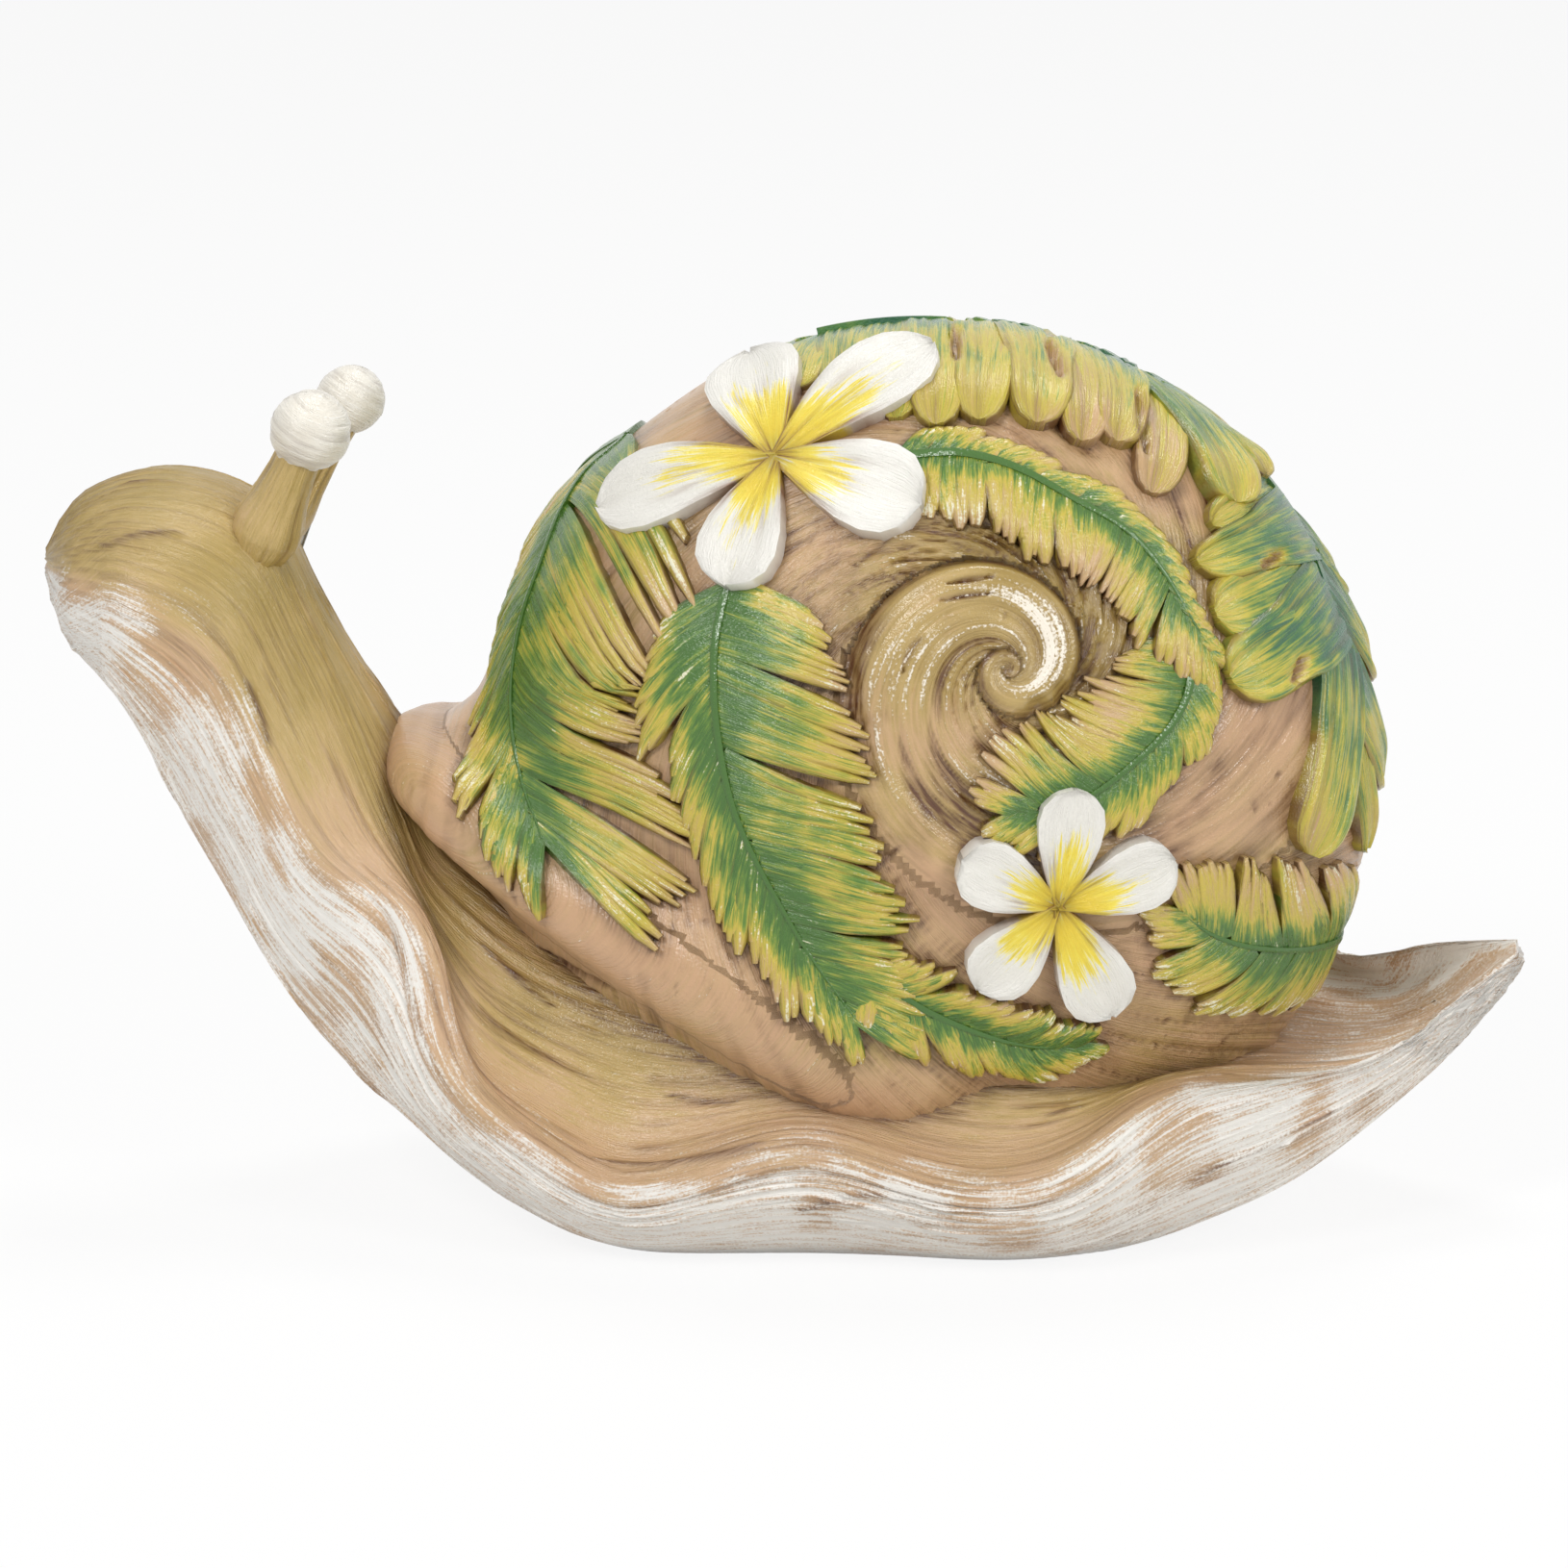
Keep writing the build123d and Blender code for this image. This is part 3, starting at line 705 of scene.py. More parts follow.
@dataclass(frozen=True)
class ShellForm:
    """Smooth form of the shell: a round dome, and the lip of its mouth as a rounded flange."""

    radius: float = 74.5
    half_thickness: float = 50.5
    rim_round: float = 37.0
    centre_x: float = 23.5
    centre_z: float = 74.0
    foot_level: float = 12.0
    lip_reach: float = 101.0
    lip_half_width: float = 48.0
    lip_depth: float = 9.0
    lip_round: float = 4.0
    lip_root_x: float = 23.0
    lip_root_z: float = 33.0
    lip_slope: float = 29.6
    lip_blend: float = 19.0
    lip_outline_shares: Pairs = (
        (0, 0.80), (0.12, 0.94), (0.3, 1.0), (0.6, 0.93), (0.85, 0.66), (0.96, 0.36), (1, 0)
    )

    @property
    def centre(self) -> np.ndarray:
        """Middle of the dome."""
        return np.array((self.centre_x, 0.0, self.centre_z))

    def anchors(self, points: np.ndarray) -> tuple[np.ndarray, np.ndarray]:
        """Centre and radius of the round that lies nearest to each point.

        Args:
            points: Points in millimetres.

        Returns:
            Centres of curvature and their radii.
        """
        middle = self.radius - self.rim_round
        bulge = self.half_thickness - self.rim_round
        cap = (middle**2 + self.half_thickness**2 - self.rim_round**2) / (2 * bulge)
        set_back = cap - self.half_thickness
        local = points - self.centre
        side = np.where(local[:, 1] < 0, -1.0, 1.0)
        radial = local * (1, 0, 1)
        reach = np.linalg.norm(radial, axis=1)
        on_cap = reach * set_back < (np.abs(local[:, 1]) + set_back) * middle
        cap_centres = np.stack((0 * side, -side * set_back, 0 * side), axis=1)
        centres = np.where(on_cap[:, None], cap_centres, unit(radial) * middle) + self.centre
        return centres, np.where(on_cap, cap, self.rim_round)

    def dome_distance(self, points: np.ndarray) -> np.ndarray:
        """Distance of points from the dome, negative inside it."""
        centres, radii = self.anchors(points)
        return np.linalg.norm(points - centres, axis=1) - radii

    def dome_normals(self, points: np.ndarray) -> np.ndarray:
        """Outward directions of the dome near points."""
        return unit(points - self.anchors(points)[0])

    def on_dome(self, points: np.ndarray) -> np.ndarray:
        """Points of the dome that lie nearest to given points.

        Args:
            points: Points in millimetres.

        Returns:
            Points on the dome.
        """
        for _ in range(2):
            centres, radii = self.anchors(points)
            points = centres + unit(points - centres) * radii[:, None]
        return points

    def cast(self, starts: np.ndarray, aims: np.ndarray) -> np.ndarray:
        """Where rays meet the skin, or pass closest to it.

        Args:
            starts: Start of each ray.
            aims: Unit direction of each ray.

        Returns:
            Points on the skin.
        """
        points = starts.copy()
        for _ in range(CAST_ROUNDS):
            points = points + aims * np.clip(self.distance(points), 0, None)[:, None] * 0.98
            stray = ((points - self.centre) * aims).sum(1) > 0
            points = np.where(stray[:, None], self.on_dome(points), points)
        return self.settle(points, 2)

    def cast_pixels(self, pixels: np.ndarray) -> np.ndarray:
        """Places on the left flank that are seen at pixels."""
        aims = VIEW.rays(pixels)
        return self.cast(np.broadcast_to(VIEW.eye, aims.shape), aims)

    def around(self, places: Pairs) -> np.ndarray:
        """Points on the dome by degrees about its axis, from the tail upwards, and place along the axis.

        Args:
            places: Degrees and place along the axis.

        Returns:
            Points on the dome.
        """
        turn, across = np.radians([place[0] for place in places]), np.array([place[1] for place in places])
        spokes = np.stack((np.cos(turn), 0 * turn, np.sin(turn)), axis=1)
        return self.on_dome(self.centre + spokes * self.radius + across[:, None] * (0, 1, 0))

    def lip_axes(self) -> tuple[np.ndarray, np.ndarray, np.ndarray]:
        """Root of the lip, its direction to the front, and its direction downwards.

        Returns:
            A point and two unit directions.
        """
        turn = math.radians(self.lip_slope)
        root = np.array((self.lip_root_x, 0.0, self.lip_root_z))
        forward = np.array((-math.cos(turn), 0.0, math.sin(turn)))
        return root, forward, np.array((-math.sin(turn), 0.0, -math.cos(turn)))

    def lip_outline(self) -> np.ndarray:
        """Half outline of the lip, along and across it, in millimetres."""
        corners = np.array(self.lip_outline_shares) * (self.lip_reach, self.lip_half_width)
        return even_line(corners, self.lip_reach / 28)

    def lip_distance(self, points: np.ndarray) -> np.ndarray:
        """Distance of points from the lip, negative inside it.

        Args:
            points: Points in millimetres.

        Returns:
            One distance for each point.
        """
        root, forward, down = self.lip_axes()
        local = points - root
        flat = np.stack((local @ forward, np.abs(local[:, 1])), axis=1)
        outline = self.lip_outline()
        width = np.interp(flat[:, 0], outline[:, 0], outline[:, 1], left=0, right=0)
        inside = (flat[:, 1] < width) & (flat[:, 0] > 0)
        side = line_distance(flat, outline) * np.where(inside, -1, 1) + self.lip_round
        half = self.lip_depth / 2
        level = np.abs(local @ down - half) - half + self.lip_round
        outer = np.hypot(np.maximum(side, 0), np.maximum(level, 0))
        return outer + np.minimum(np.maximum(side, level), 0) - self.lip_round

    def distance(self, points: np.ndarray) -> np.ndarray:
        """Distance of points from the dome and the lip, blended where they meet.

        Args:
            points: Points in millimetres.

        Returns:
            One distance for each point.
        """
        dome, lip = self.dome_distance(points), self.lip_distance(points)
        share = np.clip(0.5 + (lip - dome) / (2 * self.lip_blend), 0, 1)
        return lip + (dome - lip) * share - self.lip_blend * share * (1 - share)

    def normals(self, points: np.ndarray) -> np.ndarray:
        """Outward directions of the skin near points."""
        gap = self.distance(points)
        return unit(np.stack([self.distance(points + step) - gap for step in np.eye(3) * 0.05], axis=1))

    def settle(self, points: np.ndarray, rounds: int) -> np.ndarray:
        """Moves points onto the skin of dome and lip.

        Args:
            points: Points near the skin.
            rounds: Times to repeat the step.

        Returns:
            The moved points.
        """
        for _ in range(rounds):
            points = points - self.normals(points) * np.clip(self.distance(points), -2, 2)[:, None]
        return points


FORM = ShellForm()


@dataclass(frozen=True)
class Coil:
    """The coil that winds up on each flank of the shell, as a spiral crease and a rise inside it."""

    middle_px: tuple[float, float] = (1046.0, 697.0)
    start_px: float = 172.0
    tightness: float = 0.27
    rise: float = 3.4
    nick: float = 0.6
    hump: float = 2.6

    def chart(self, points: np.ndarray) -> tuple[np.ndarray, np.ndarray, np.ndarray]:
        """Reads points as places on the spiral.

        Args:
            points: Points in millimetres.

        Returns:
            Angle along the spiral from its outer end, share of the way from its crease to the next one
            inwards, and distance from its middle in millimetres.
        """
        flat = (VIEW.seen(points) - self.middle_px) * (1, -1)
        reach = np.maximum(np.linalg.norm(flat, axis=1), 1e-3)
        turn = (np.pi - np.arctan2(flat[:, 1], flat[:, 0])) % (2 * np.pi)
        wound = (np.log(self.start_px / reach) / self.tightness - turn) / (2 * np.pi)
        number = np.floor(wound)
        return turn + 2 * np.pi * number, wound - number, reach * VIEW.pixel

    def height(self, points: np.ndarray) -> np.ndarray:
        """How far the coil lifts the skin at points, in millimetres.

        Args:
            points: Points in millimetres.

        Returns:
            One height for each point.
        """
        turn, share, reach = self.chart(points)
        outer = self.start_px * VIEW.pixel
        strength = smooth_step(-1.3, 0.6, turn) * np.clip(reach / outer * 2.2, 0.12, 1)
        rim = smooth_step(0.0, 0.09, share) * (1 - share) ** 0.8
        nick = np.exp(-((share / 0.03) ** 2)) + np.exp(-(((1 - share) / 0.02) ** 2))
        hump = self.hump * smooth_step(outer * 0.95, 0, reach)
        return strength * (self.rise * rim - self.nick * nick) + hump

    def flow(self, points: np.ndarray) -> np.ndarray:
        """Places along and across the combing of the shell, in millimetres.

        Args:
            points: Points in millimetres.

        Returns:
            Place along, place across and zero, for each point.
        """
        turn, share, reach = self.chart(points)
        shrink = 1 - math.exp(-2 * math.pi * self.tightness)
        band = reach * shrink / np.exp(-share * 2 * np.pi * self.tightness)
        return np.stack((turn * np.minimum(reach, 40), share * band * 0.75, 0 * reach), axis=1)


COIL = Coil()


def combing(flow: np.ndarray, width: float, length: float, seed: int) -> np.ndarray:
    """Comb marks of a modelling tool: long narrow ridges and grooves.

    Args:
        flow: Place along and across the marks, in millimetres.
        width: Width of a mark.
        length: Length of a mark.
        seed: Number that picks the pattern.

    Returns:
        Height of the marks from -1 to 1.
    """
    coarse = lattice_noise(flow[:, :2] / (length, width), seed)
    fine = lattice_noise(flow[:, :2] / (length * 0.6, width * 0.5), seed + 1)
    return np.clip(((coarse * 0.65 + fine * 0.35) * 2 - 1) * 1.5, -1, 1)


def cuts(points: np.ndarray, lines: tuple[Pairs, ...], width: float) -> np.ndarray:
    """Share of a narrow cut at points, from cuts drawn in pixels.

    Args:
        points: Points in millimetres.
        lines: Corners of each cut, in pixels.
        width: Width of a cut in millimetres.

    Returns:
        1 in the middle of a cut and 0 away from it.
    """
    seen = VIEW.seen(points)
    depth = np.zeros(len(points))
    for line in lines:
        corners = even_line(np.array(line, float), 12)
        gap = line_distance(seen, corners) * VIEW.pixel
        ends = [np.linalg.norm(seen - end, axis=1) for end in (corners[0], corners[-1])]
        taper = np.clip(0.25 + np.minimum(*ends) * VIEW.pixel / (4 * width), 0.25, 1)
        depth = np.maximum(depth, np.exp(-((gap / (width * taper / 2)) ** 2)))
    return depth


@dataclass
class ShellCast:
    """The shell casting: dome, lip and the two coils, combed and painted."""

    voxel: float = 2.08
    comb_width: float = 1.45
    comb_length: float = 26.0
    cut_width: float = 1.1
    cut_depth: float = 0.8
    wash_reach: float = 1.5
    cuts_px: tuple[Pairs, ...] = (
        ((688, 948), (672, 1000)),
        ((700, 955), (694, 975)),
        ((905, 905), (935, 880)),
        ((884, 590), (925, 560)),
        ((940, 700), (945, 680), (958, 665)),
        ((985, 612), (1030, 605)),
        ((976, 628), (1028, 622)),
        ((560, 985), (600, 1012), (640, 1030)),
    )

    def blank(self) -> bpy.types.Mesh:
        """Joins dome and lip into one skin of even quads.

        Returns:
            A closed mesh that lies on the smooth form.
        """
        round_one = bmesh.new()
        bmesh.ops.create_icosphere(round_one, subdivisions=5, radius=FORM.radius * MM)
        dome = bpy.data.meshes.new("dome")
        round_one.to_mesh(dome)
        round_one.free()
        move_points(dome, FORM.on_dome(mesh_points(dome) + FORM.centre))
        root, forward, down = FORM.lip_axes()
        half = FORM.lip_outline()
        outline = np.concatenate((half, half[-2::-1] * (1, -1)))
        top = root + outline[:, :1] * forward + outline[:, 1:] * (0, 1, 0)
        count = len(outline)
        ring = [(i, (i + 1) % count, (i + 1) % count + count, i + count) for i in range(count)]
        caps = [list(range(count))[::-1], list(range(count, 2 * count))]
        lip = new_mesh("lip", np.concatenate((top, top + FORM.lip_depth * down)), ring + caps)
        both = bmesh.new()
        both.from_mesh(dome)
        both.from_mesh(lip)
        bmesh.ops.bisect_plane(
            both,
            geom=both.verts[:] + both.edges[:] + both.faces[:],
            plane_co=(0, 0, FORM.foot_level * MM),
            plane_no=(0, 0, -1),
            clear_outer=True,
        )
        bmesh.ops.holes_fill(both, edges=[e for e in both.edges if e.is_boundary])
        bmesh.ops.recalc_face_normals(both, faces=both.faces[:])
        joined = bpy.data.meshes.new("shell_blank")
        both.to_mesh(joined)
        both.free()
        thing = new_object("shell_blank", joined)
        remesh = thing.modifiers.new("skin", "REMESH")
        remesh.mode, remesh.voxel_size = "VOXEL", self.voxel * MM
        return baked_mesh(thing)

    def refined(self, mesh: bpy.types.Mesh) -> bpy.types.Mesh:
        """Divides the skin's quads, and those of the coils twice.

        Args:
            mesh: The blank.

        Returns:
            The same mesh with smaller quads, on the smooth form above its foot.
        """
        for coils_only in (False, True):
            fine = bmesh.new()
            fine.from_mesh(mesh)
            if coils_only:
                inner = COIL.chart(mesh_points(mesh))[2] < COIL.start_px * VIEW.pixel
                near = [e for e in fine.edges if all(inner[v.index] for v in e.verts)]
            else:
                near = fine.edges[:]
            bmesh.ops.subdivide_edges(fine, edges=near, cuts=1, use_grid_fill=True)
            fine.to_mesh(mesh)
            fine.free()
            points = mesh_points(mesh)
            above = points[:, 2] > FORM.foot_level + 2 * self.voxel
            points[above] = FORM.settle(points[above], 3)
            move_points(mesh, points)
        return mesh

    def build(self, leaf_points: np.ndarray) -> bpy.types.Object:
        """Makes, carves and paints the shell.

        Args:
            leaf_points: Points of the leaves and flowers, beside which brown washes stay and shade is
                painted.

        Returns:
            The piece.
        """
        mesh = self.refined(self.blank())
        points, normals = mesh_points(mesh), mesh_normals(mesh)
        flow = COIL.flow(points)
        turn, share, reach = COIL.chart(points)
        _, forward, down = FORM.lip_axes()
        on_lip = smooth_step(6.0, 1.0, FORM.lip_distance(points))
        on_lip = on_lip * smooth_step(1.5, 5.0, FORM.dome_distance(points))
        coil = smooth_step(1.45, 0.9, reach / (COIL.start_px * VIEW.pixel))
        comb = combing(flow, self.comb_width, self.comb_length, 11)
        ridges = np.clip(comb, -1, 0.6) * (0.36 + 0.50 * coil) * (1 - 0.5 * on_lip)
        cut = cuts(points, self.cuts_px, self.cut_width)
        lumps = lattice_noise(points / 9.0, 5) * 0.5 + lattice_noise(points / 3.5, 6) * 0.16
        specks = smooth_step(0.86, 0.94, lattice_noise(points / 1.5, 14))
        marks = self.cut_depth * cut + 0.3 * specks
        beside = nearest_gap(points, leaf_points)
        winding = COIL.height(points) * (1 - on_lip) * (0.3 + 0.7 * smooth_step(0.6, 2.8, beside))
        lift = winding + ridges + lumps - 0.33 - marks
        above = smooth_step(FORM.foot_level, FORM.foot_level + 4, points[:, 2])
        move_points(mesh, points + normals * (lift * above)[:, None])
        crease = np.exp(-((share / 0.035) ** 2)) + np.exp(-(((1 - share) / 0.02) ** 2))
        crease = crease * smooth_step(-1.0, 0.5, turn) * smooth_step(2, 6, reach)
        pits = specks * smooth_step(0.45, 0.65, lattice_noise(points / 8.0, 15))
        grooves = smooth_step(-0.1, -0.75, comb)
        # Brown washes fill the cuts, the coil's crease, the pits and the comb's grooves; beside the leaves
        # and flowers the brown is painted shade as well.
        wash = 0.90 * np.exp(-beside / self.wash_reach) + 0.9 * cut + 0.8 * crease + 0.6 * pits
        wash = wash + grooves * (0.42 + 0.48 * coil) * (1 - 0.5 * on_lip)
        wash = wash + 0.22 * smooth_step(0.45, 0.75, lattice_noise(points / 6.0, 16)) * (1 - on_lip)
        wash = np.clip(wash, 0, 0.95) * (0.65 + 0.5 * lattice_noise(points / 2.2, 8))
        tone = 0.34 + 0.22 * coil + 0.4 * coil * lattice_noise(points / 13.0, 3) - 0.25 * on_lip
        tone = tone + 0.7 * (lattice_noise(points / 13.0, 4) - 0.5)
        # Painted highlight: a pale patch on the coil, above and right of its middle.
        painted_highlight = smooth_step(12.0, 3.0, np.linalg.norm(VIEW.seen(points) - (1072, 672), axis=1) * VIEW.pixel)
        dry = 0.08 + 0.32 * coil * smooth_step(0.0, 0.6, comb) + 0.14 * on_lip + 0.16 * painted_highlight
        lip_flow = np.stack((points @ down, points[:, 1] - points @ forward, flow[:, 2]), axis=1)
        strokes = np.where(on_lip[:, None] > 0.5, lip_flow, flow)
        paint_mesh(mesh, SHELL_PAINT, tone, wash, dry, strokes)
        return place_piece(mesh, "shell_casting", "shell_resin", "shell")


def nearest_gap(points: np.ndarray, others: np.ndarray, cell: float = 3.0) -> np.ndarray:
    """Rough distance of points from a cloud of other points, up to about one cell.

    Args:
        points: Points to measure from.
        others: The cloud.
        cell: Size of the search cell in millimetres.

    Returns:
        One distance for each point.
    """
    buckets: dict[tuple[int, ...], list[int]] = {}
    for number, key in enumerate(map(tuple, np.floor(others / cell).astype(int))):
        buckets.setdefault(key, []).append(number)
    groups: dict[tuple[int, ...], list[int]] = {}
    for number, key in enumerate(map(tuple, np.floor(points / cell).astype(int))):
        groups.setdefault(key, []).append(number)
    gaps = np.full(len(points), cell)
    for key, members in groups.items():
        around = itertools.product(*(range(k - 1, k + 2) for k in key))
        near = [n for k in around for n in buckets.get(k, ())]
        if near:
            apart = points[members][:, None] - others[near][None]
            gaps[members] = np.minimum(cell, np.sqrt((apart**2).sum(2).min(1)))
    return gaps


class SkinStrip:
    """A chart of the shell's skin along a midrib: place along it, place to its left, and height."""

    step: float = 1.5
    margin: float = 30.0

    def __init__(self, midrib: np.ndarray, reach: float) -> None:
        """Lays the chart out from the midrib by walking straight over the skin.

        Args:
            midrib: Points on the skin that the midrib goes through.
            reach: Width of the chart to either side, in millimetres.
        """
        line = even_line(midrib, self.step)
        self.length = self.step * (len(line) - 1)
        before = self.walk(line[:1], line[:1] - line[1:2], self.margin)[1:][::-1, 0]
        after = self.walk(line[-1:], line[-1:] - line[-2:-1], self.margin)[1:, 0]
        middle = np.concatenate((before, line, after))
        self.start = len(before)
        along = unit(np.gradient(middle, axis=0))
        left = np.cross(FORM.normals(middle), along)
        sides = [self.walk(middle, left * sign, reach) for sign in (-1, 1)]
        self.grid = np.concatenate((sides[0][:0:-1], sides[1])).transpose(1, 0, 2)

    def walk(self, points: np.ndarray, aims: np.ndarray, reach: float) -> np.ndarray:
        """Walks over the skin from points, straight ahead.

        Args:
            points: Starts on the skin.
            aims: Direction of each walk.
            reach: Length of the walk.

        Returns:
            The points of every step, the starts first.
        """
        steps = [points]
        for _ in range(math.ceil(reach / self.step)):
            normals = FORM.normals(points)
            aims = unit(aims - normals * (aims * normals).sum(1, keepdims=True))
            points = FORM.settle(points + aims * self.step, 2)
            steps.append(points)
        return np.array(steps)

    def place(self, flat: np.ndarray) -> np.ndarray:
        """Lays flat points on the skin.

        Args:
            flat: Place along the midrib, place to its left and height, in millimetres.

        Returns:
            Points in the figurine's own frame.
        """
        rows, columns = self.grid.shape[:2]
        row = np.clip(flat[:, 0] / self.step + self.start, 0, rows - 1.001)
        column = np.clip(flat[:, 1] / self.step + (columns - 1) / 2, 0, columns - 1.001)
        i, j = row.astype(int), column.astype(int)
        u, v = (row - i)[:, None], (column - j)[:, None]
        near = self.grid[i, j] * (1 - v) + self.grid[i, j + 1] * v
        far = self.grid[i + 1, j] * (1 - v) + self.grid[i + 1, j + 1] * v
        skin = FORM.settle(near * (1 - u) + far * u, 1)
        return skin + FORM.normals(skin) * flat[:, 2:]

    def read(self, points: np.ndarray) -> np.ndarray:
        """Reads points on the skin as places on the chart.

        Args:
            points: Points on the skin.

        Returns:
            Place along the midrib and place to its left, in millimetres.
        """
        columns = self.grid.shape[1]
        skin = self.grid.reshape(-1, 3)
        nearest = np.array([((skin - point) ** 2).sum(1).argmin() for point in points])
        row, column = nearest // columns - self.start, nearest % columns - (columns - 1) / 2
        return np.stack((row, column), axis=1) * self.step


@dataclass(frozen=True)
class Tongue:
    """A leaflet, lobe or petal: a closed tongue of unit length and width, with its height in millimetres."""

    name: str
    outline: tuple[tuple[float, float], ...]
    section: tuple[tuple[float, float], ...]
    rise: tuple[tuple[float, float], ...]
    rows: int
    columns: int
    sink: float = 1.0

    def build(self) -> bpy.types.Object:
        """Makes the tongue, with its own along, across and ridge values.

        Returns:
            An object to be set out by a node tree.
        """
        out = np.linspace(0, 1, self.rows)
        side = np.linspace(-1, 1, self.columns)
        width = np.interp(out, *np.array(self.outline).T)
        section, rise = curve_at(self.section, side), curve_at(self.rise, out)
        top = np.stack(
            (
                np.repeat(out, self.columns),
                (width[:, None] * side / 2).ravel(),
                (rise[:, None] * section).ravel(),
            ),
            axis=1,
        )
        numbers = np.arange(len(top)).reshape(self.rows, self.columns)
        rim = np.concatenate((numbers[0], numbers[1:, -1], numbers[-1, -2::-1], numbers[-2:0:-1, 0]))
        foot = top[rim] * (1, 1, 0) - (0, 0, self.sink)
        count = len(rim)
        low = len(top) + np.arange(count)
        walls = [(rim[i], rim[i - 1], low[i - 1], low[i]) for i in range(count)]
        faces = [quad[::-1].tolist() for quad in grid_quads(self.rows, self.columns)]
        faces += [[int(n) for n in wall] for wall in walls] + [low.tolist()]
        mesh = plan_mesh(self.name, np.concatenate((top, foot)), faces)
        sides = np.tile(side, self.rows)
        write_attribute(mesh, "along", np.concatenate((top[:, 0], foot[:, 0])))
        write_attribute(mesh, "across", np.concatenate((sides, sides[rim])))
        write_attribute(mesh, "ridge", np.concatenate((np.tile(section, self.rows), np.full(count, -1.0))))
        return new_object(self.name, mesh)


LEAFLET = Tongue(
    "leaflet",
    outline=((0, 0.9), (0.3, 1.0), (0.8, 1.0), (0.94, 0.8), (1, 0.45)),
    section=((-1, 0.60), (-0.45, 0.88), (0.1, 1.0), (0.6, 0.9), (1, 0.62)),
    rise=((0, 1.7), (0.3, 1.9), (0.7, 1.9), (0.92, 1.7), (1, 1.2)),
    rows=9,
    columns=6,
)
LOBE = Tongue(
    "lobe",
    outline=((0, 1.1), (0.35, 1.08), (0.5, 0.97), (0.8, 0.97), (0.9, 0.86), (0.965, 0.62), (1, 0.28)),
    section=(
        (-1, 0.78), (-0.95, 0.94), (-0.5, 1.0), (-0.06, 0.92),
        (0.06, 0.92), (0.5, 1.0), (0.95, 0.95), (1, 0.82),
    ),
    rise=((0, 1.5), (0.25, 1.8), (0.6, 2.2), (0.85, 2.6), (1, 2.0)),
    rows=28,
    columns=17,
)
PETAL = Tongue(
    "petal",
    outline=(
        (0, 0.12), (0.12, 0.32), (0.35, 0.68), (0.55, 0.92), (0.72, 1.0),
        (0.85, 0.90), (0.94, 0.62), (0.985, 0.32), (1, 0.08),
    ),
    section=(
        (-1, 0.97), (-0.9, 1.0), (-0.5, 0.90), (-0.05, 0.80),
        (0.1, 0.81), (0.55, 0.94), (0.9, 1.06), (1, 1.02),
    ),
    rise=((0, 1.3), (0.15, 1.9), (0.4, 3.0), (0.7, 3.6), (0.92, 3.8), (1, 3.7)),
    rows=34,
    columns=21,
)


def parts_tree() -> bpy.types.NodeTree:
    """A node tree that sets a part on every point, turned and stretched as the point says.

    Returns:
        The tree, with inputs for the part, the seeded unevenness and the paint.
    """
    tree = bpy.data.node_groups.get("set_out_parts")
    if tree:
        return tree
    tree = bpy.data.node_groups.new("set_out_parts", "GeometryNodeTree")
    sockets = (
        ("Points", "NodeSocketGeometry"),
        ("Part", "NodeSocketObject"),
        ("Turn Jitter", "NodeSocketFloat"),
        ("Reach Jitter", "NodeSocketFloat"),
        ("Seed", "NodeSocketInt"),
        ("Paint", "NodeSocketMaterial"),
    )
    for label, kind in sockets:
        tree.interface.new_socket(label, in_out="INPUT", socket_type=kind)
    tree.interface.new_socket("Geometry", in_out="OUTPUT", socket_type="NodeSocketGeometry")
    given = add_node(tree, "NodeGroupInput").outputs
    named, random = "GeometryNodeInputNamedAttribute", "FunctionNodeRandomValue"
    turn = add_node(tree, named, {"Name": "turn"}, data_type="FLOAT").outputs[0]
    reach = add_node(tree, named, {"Name": "reach"}, data_type="FLOAT_VECTOR").outputs[0]
    next_seed = add_node(tree, MATH, {0: given["Seed"], 1: 1.0}, operation="ADD").outputs[0]
    uneven = []
    for seed, jitter, plain in ((given["Seed"], "Turn Jitter", turn), (next_seed, "Reach Jitter", 1.0)):
        swing = add_node(tree, random, {2: -1.0, 3: 1.0, "Seed": seed}, data_type="FLOAT").outputs[1]
        inputs = {0: swing, 1: given[jitter], 2: plain}
        uneven.append(add_node(tree, MATH, inputs, operation="MULTIPLY_ADD").outputs[0])
    turned, longer = uneven
    euler = add_node(tree, "ShaderNodeCombineXYZ", {"Z": turned}).outputs[0]
    rotation = add_node(tree, "FunctionNodeEulerToRotation", {0: euler}).outputs[0]
    factor = add_node(tree, "ShaderNodeCombineXYZ", {"X": longer, "Y": 1.0, "Z": 1.0}).outputs[0]
    scale = add_node(tree, "ShaderNodeVectorMath", {0: reach, 1: factor}, operation="MULTIPLY").outputs[0]
    part = add_node(tree, "GeometryNodeObjectInfo", {"Object": given["Part"]}).outputs["Geometry"]
    inputs = {"Points": given["Points"], "Instance": part, "Rotation": rotation, "Scale": scale}
    instances = add_node(tree, "GeometryNodeInstanceOnPoints", inputs).outputs[0]
    realised = add_node(tree, "GeometryNodeRealizeInstances", {0: instances}).outputs[0]
    inputs = {"Geometry": realised, "Material": given["Paint"]}
    dressed = add_node(tree, "GeometryNodeSetMaterial", inputs).outputs[0]
    add_node(tree, "NodeGroupOutput", {"Geometry": dressed})
    return tree


